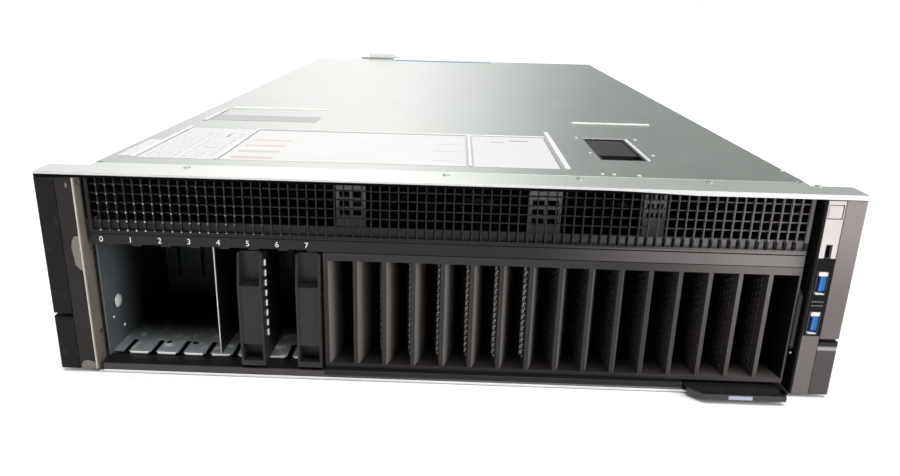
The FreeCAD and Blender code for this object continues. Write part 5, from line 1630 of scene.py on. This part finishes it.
# %% Supply vents
VENT_X = (-210.5, -169.5)
VENT_LEVELS = (18.5, 38.4)
VENT_SHEET = 0.7
VENT_RADIUS = 1.9
VENT_STEP = 4.6
VENT_COLUMNS = 8
VENT_ROW_PAIRS = 2
VENT_START = (3.2, 21.6)
VENT_CUT = 4


def supply_vent(rear, level):
    vent_plate = slab("supply_vent", (VENT_X[0], rear, level + VENT_LEVELS[0]),
                      (VENT_X[1], rear + VENT_SHEET, level + VENT_LEVELS[1]))
    hole = disc("hole", (VENT_X[0] + VENT_START[0], rear + VENT_CUT / 2, level + VENT_START[1]),
                VENT_RADIUS, VENT_CUT, "Y", 6)
    rise = VENT_STEP * math.sqrt(3) / 2
    pair = together(copies(hole, [(VENT_STEP / 2, 0, rise)]), "holes")
    repeated(pair, VENT_COLUMNS, (VENT_STEP, 0, 0))
    repeated(pair, VENT_ROW_PAIRS, (0, 0, 2 * rise))
    return soften(cut(vent_plate, pair), 0.08, 1)


print("supply_vent is ready")

# %% [markdown]
# ## Inlets and lamps of the power supplies
# The inlet is a black block whose face is inset and pushed in, with three flat pins standing in it, and
# a small green lamp sits under the release tab. All of them hang on the body of their supply, so that
# they slide out with it.

# %% Supply inlets and lamps
INLET_X = (-165.5, -141.9)
INLET_LEVELS = (12.2, 31.8)
INLET_DEEP = 17.6
INLET_PROUD = 0.4
INLET_RIM = 2.2
INLET_SINK = 13.0
PIN = (1.0, 3.2)
PINS = ((-6, 19.5), (6, 19.5), (0, 24.5))
PIN_DEPTHS = (13, 3)
LAMP = (-131.8, 8.0)
LAMP_SIZE = (1.6, 0.6)
lamp_green = plastic("lamp_green", (0.02, 0.5, 0.05, 1.0), 0.2, 0.004, 0.0, 0.8)
pin_brass = sheet_metal("pin_brass", (0.7, 0.6, 0.4, 1.0), 0.3)


def supply_inlet(rear, level):
    block = slab("supply_inlet", (INLET_X[0], rear - INLET_DEEP, level + INLET_LEVELS[0]),
                 (INLET_X[1], rear + INLET_PROUD, level + INLET_LEVELS[1]))
    dish(block, looking("Y"), INLET_RIM, (0, -INLET_SINK, 0))
    return soften(block, 0.4)


def inlet_pins(rear, level):
    middle = sum(INLET_X) / 2
    made = []
    for shift, height in PINS:
        x, z = middle + shift, level + height
        pin = slab("pin", (x - PIN[0], rear - PIN_DEPTHS[0], z - PIN[1]),
                   (x + PIN[0], rear - PIN_DEPTHS[1], z + PIN[1]))
        made.append(soften(pin, 0.5))
    return together(made, "inlet_pins")


def supply_lamp(rear, level):
    radius, tall = LAMP_SIZE
    lamp = disc("supply_lamp", (LAMP[0], rear + tall, level + LAMP[1]), radius, tall, "Y", 16)
    dish(lamp, looking("Y"), 0.6, (0, 0.3, 0))
    return soften(lamp, 0.15)


for index in (1, 2):
    case_low, case_high = (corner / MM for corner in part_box(f"psu_{index}_case"))
    body = f"psu_{index}"
    rear, level = case_high.y, case_low.z
    place_piece(supply_vent(rear, level), body, "psu_metal")
    place_piece(supply_inlet(rear, level), body, "handle_plastic")
    place_piece(inlet_pins(rear, level), body, "port_steel", pin_brass)
    place_piece(supply_lamp(rear, level), body, "release_plastic", lamp_green)
print("power supplies have vents, inlets and lamps")

# %% [markdown]
# ## Slot covers
# The covers of the expansion slots at the rear are pierced for air. They are cut like the filler: three
# six-sided holes make a group, and Array modifiers repeat it up each cover and from cover to cover.

# %% Slot covers
COVERS_LOW, COVERS_HIGH = (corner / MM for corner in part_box("card_covers"))
CARD_COUNT = 7
CARD_PITCH = 20.32
CARD_MIDDLE = 9.2
CARD_VENT = 1.7
CARD_VENT_CUT = 3
CARD_VENT_STEP = (2.3, 4.0)
CARD_VENT_BOTTOM = 24.0
CARD_VENT_GROUPS = 10

step_x, step_z = CARD_VENT_STEP
card_x = COVERS_LOW.x + CARD_MIDDLE
vent = disc("hole", (card_x - step_x, COVERS_HIGH.y + 1, CARD_VENT_BOTTOM),
            CARD_VENT, CARD_VENT_CUT, "Y", 6)
vents = together(copies(vent, [(2 * step_x, 0, 0), (step_x, 0, step_z)]), "card_vents")
repeated(vents, CARD_VENT_GROUPS, (0, 0, 2 * step_z))
repeated(vents, CARD_COUNT, (CARD_PITCH, 0, 0))
covers = soften(cut(clean_copy("card_covers"), vents), 0.1, 1)
stand_for(covers, "card_covers", finishes["psu_metal"])
print("slot covers:", CARD_COUNT)

# %% [markdown]
# ## Screws and rivets
# Cross-head screws hold the rear wall, and rows of rivets hold the side walls to the chassis floor and
# the cage. A screw is a disc with a cross cut by two slabs; a rivet is a disc with a sunk face.

# %% Screws and rivets
REAR_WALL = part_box("rear_panel")[1].y / MM
SCREWS = ((-120, 92), (-120, 20), (60, 122), (205, 122), (205, 20), (-205, 122), (66, 60))
SCREW = (2.6, 1.2)
CROSS_HALF = 0.3
RIVET_ROWS = (12.0, 104.0)
RIVET = (2.4, 0.7)
RIVET_START = 50
RIVET_STEP = 88
RIVETS_IN_ROW = 9
SIDE_WALL = 217.0


def screw_head(place, radius, height):
    """A low round head on the rear wall with a cross cut by two slabs."""
    x, z = place
    obj = disc("screw", (x, REAR_WALL + height, z), radius, height, "Y", 20)
    arm = radius * 0.6
    for half_x, half_z in ((arm, CROSS_HALF), (CROSS_HALF, arm)):
        cut(obj, slab("cross", (x - half_x, REAR_WALL + height * 0.5, z - half_z),
                      (x + half_x, REAR_WALL + height * 2, z + half_z)))
    return soften(obj, 0.2)


def rivet_row(side, height):
    radius, tall = RIVET
    start = SIDE_WALL if side > 0 else -SIDE_WALL - tall
    head = disc("rivet", (start, RIVET_START, height), radius, tall, "X", 16)
    dish(head, looking("X", side), 0.9, (-0.15 * side, 0, 0))
    return repeated(soften(head, 0.2), RIVETS_IN_ROW, (0, RIVET_STEP, 0))


screws = together([screw_head(place, *SCREW) for place in SCREWS], "rear_screws")
place_piece(screws, "chassis", "pin_steel")
rows = [rivet_row(side, height) for side in (-1, 1) for height in RIVET_ROWS]
place_piece(together(rows, "side_rivets"), "chassis", "chassis_steel")
print("screws:", len(SCREWS), "side rivets:", len(rows) * RIVETS_IN_ROW)

# %% [markdown]
# ## Tab on the rear handle
# A pale tab stands up from the rear handle and shows over the far edge of the cover. It is a slab whose
# right end is cut off at a slant with bisect, as a file would do it.

# %% Handle tab
LUG = ((-139.0, 786.0, 131.9), (-82.0, 790.0, 139.0))
LUG_SLANT = (-102.0, 788, 139.0)
LUG_SLANT_NORMAL = (0.36, 0, 0.93)

lug = take(slab("handle_lug", *LUG))
bpy.ops.object.mode_set(mode="EDIT")
bpy.ops.mesh.select_all(action="SELECT")
bpy.ops.mesh.bisect(
    plane_co=mm(*LUG_SLANT), plane_no=LUG_SLANT_NORMAL, use_fill=True, clear_outer=True)
bpy.ops.object.mode_set(mode="OBJECT")
pale_tab = plastic("pale_tab", grey(0.9), 0.4, 0.01, 0.1, 0.6)
place_piece(soften(lug, 0.6), "chassis", "lift_handle", pale_tab)
print("handle tab:", len(lug.data.polygons), "faces")
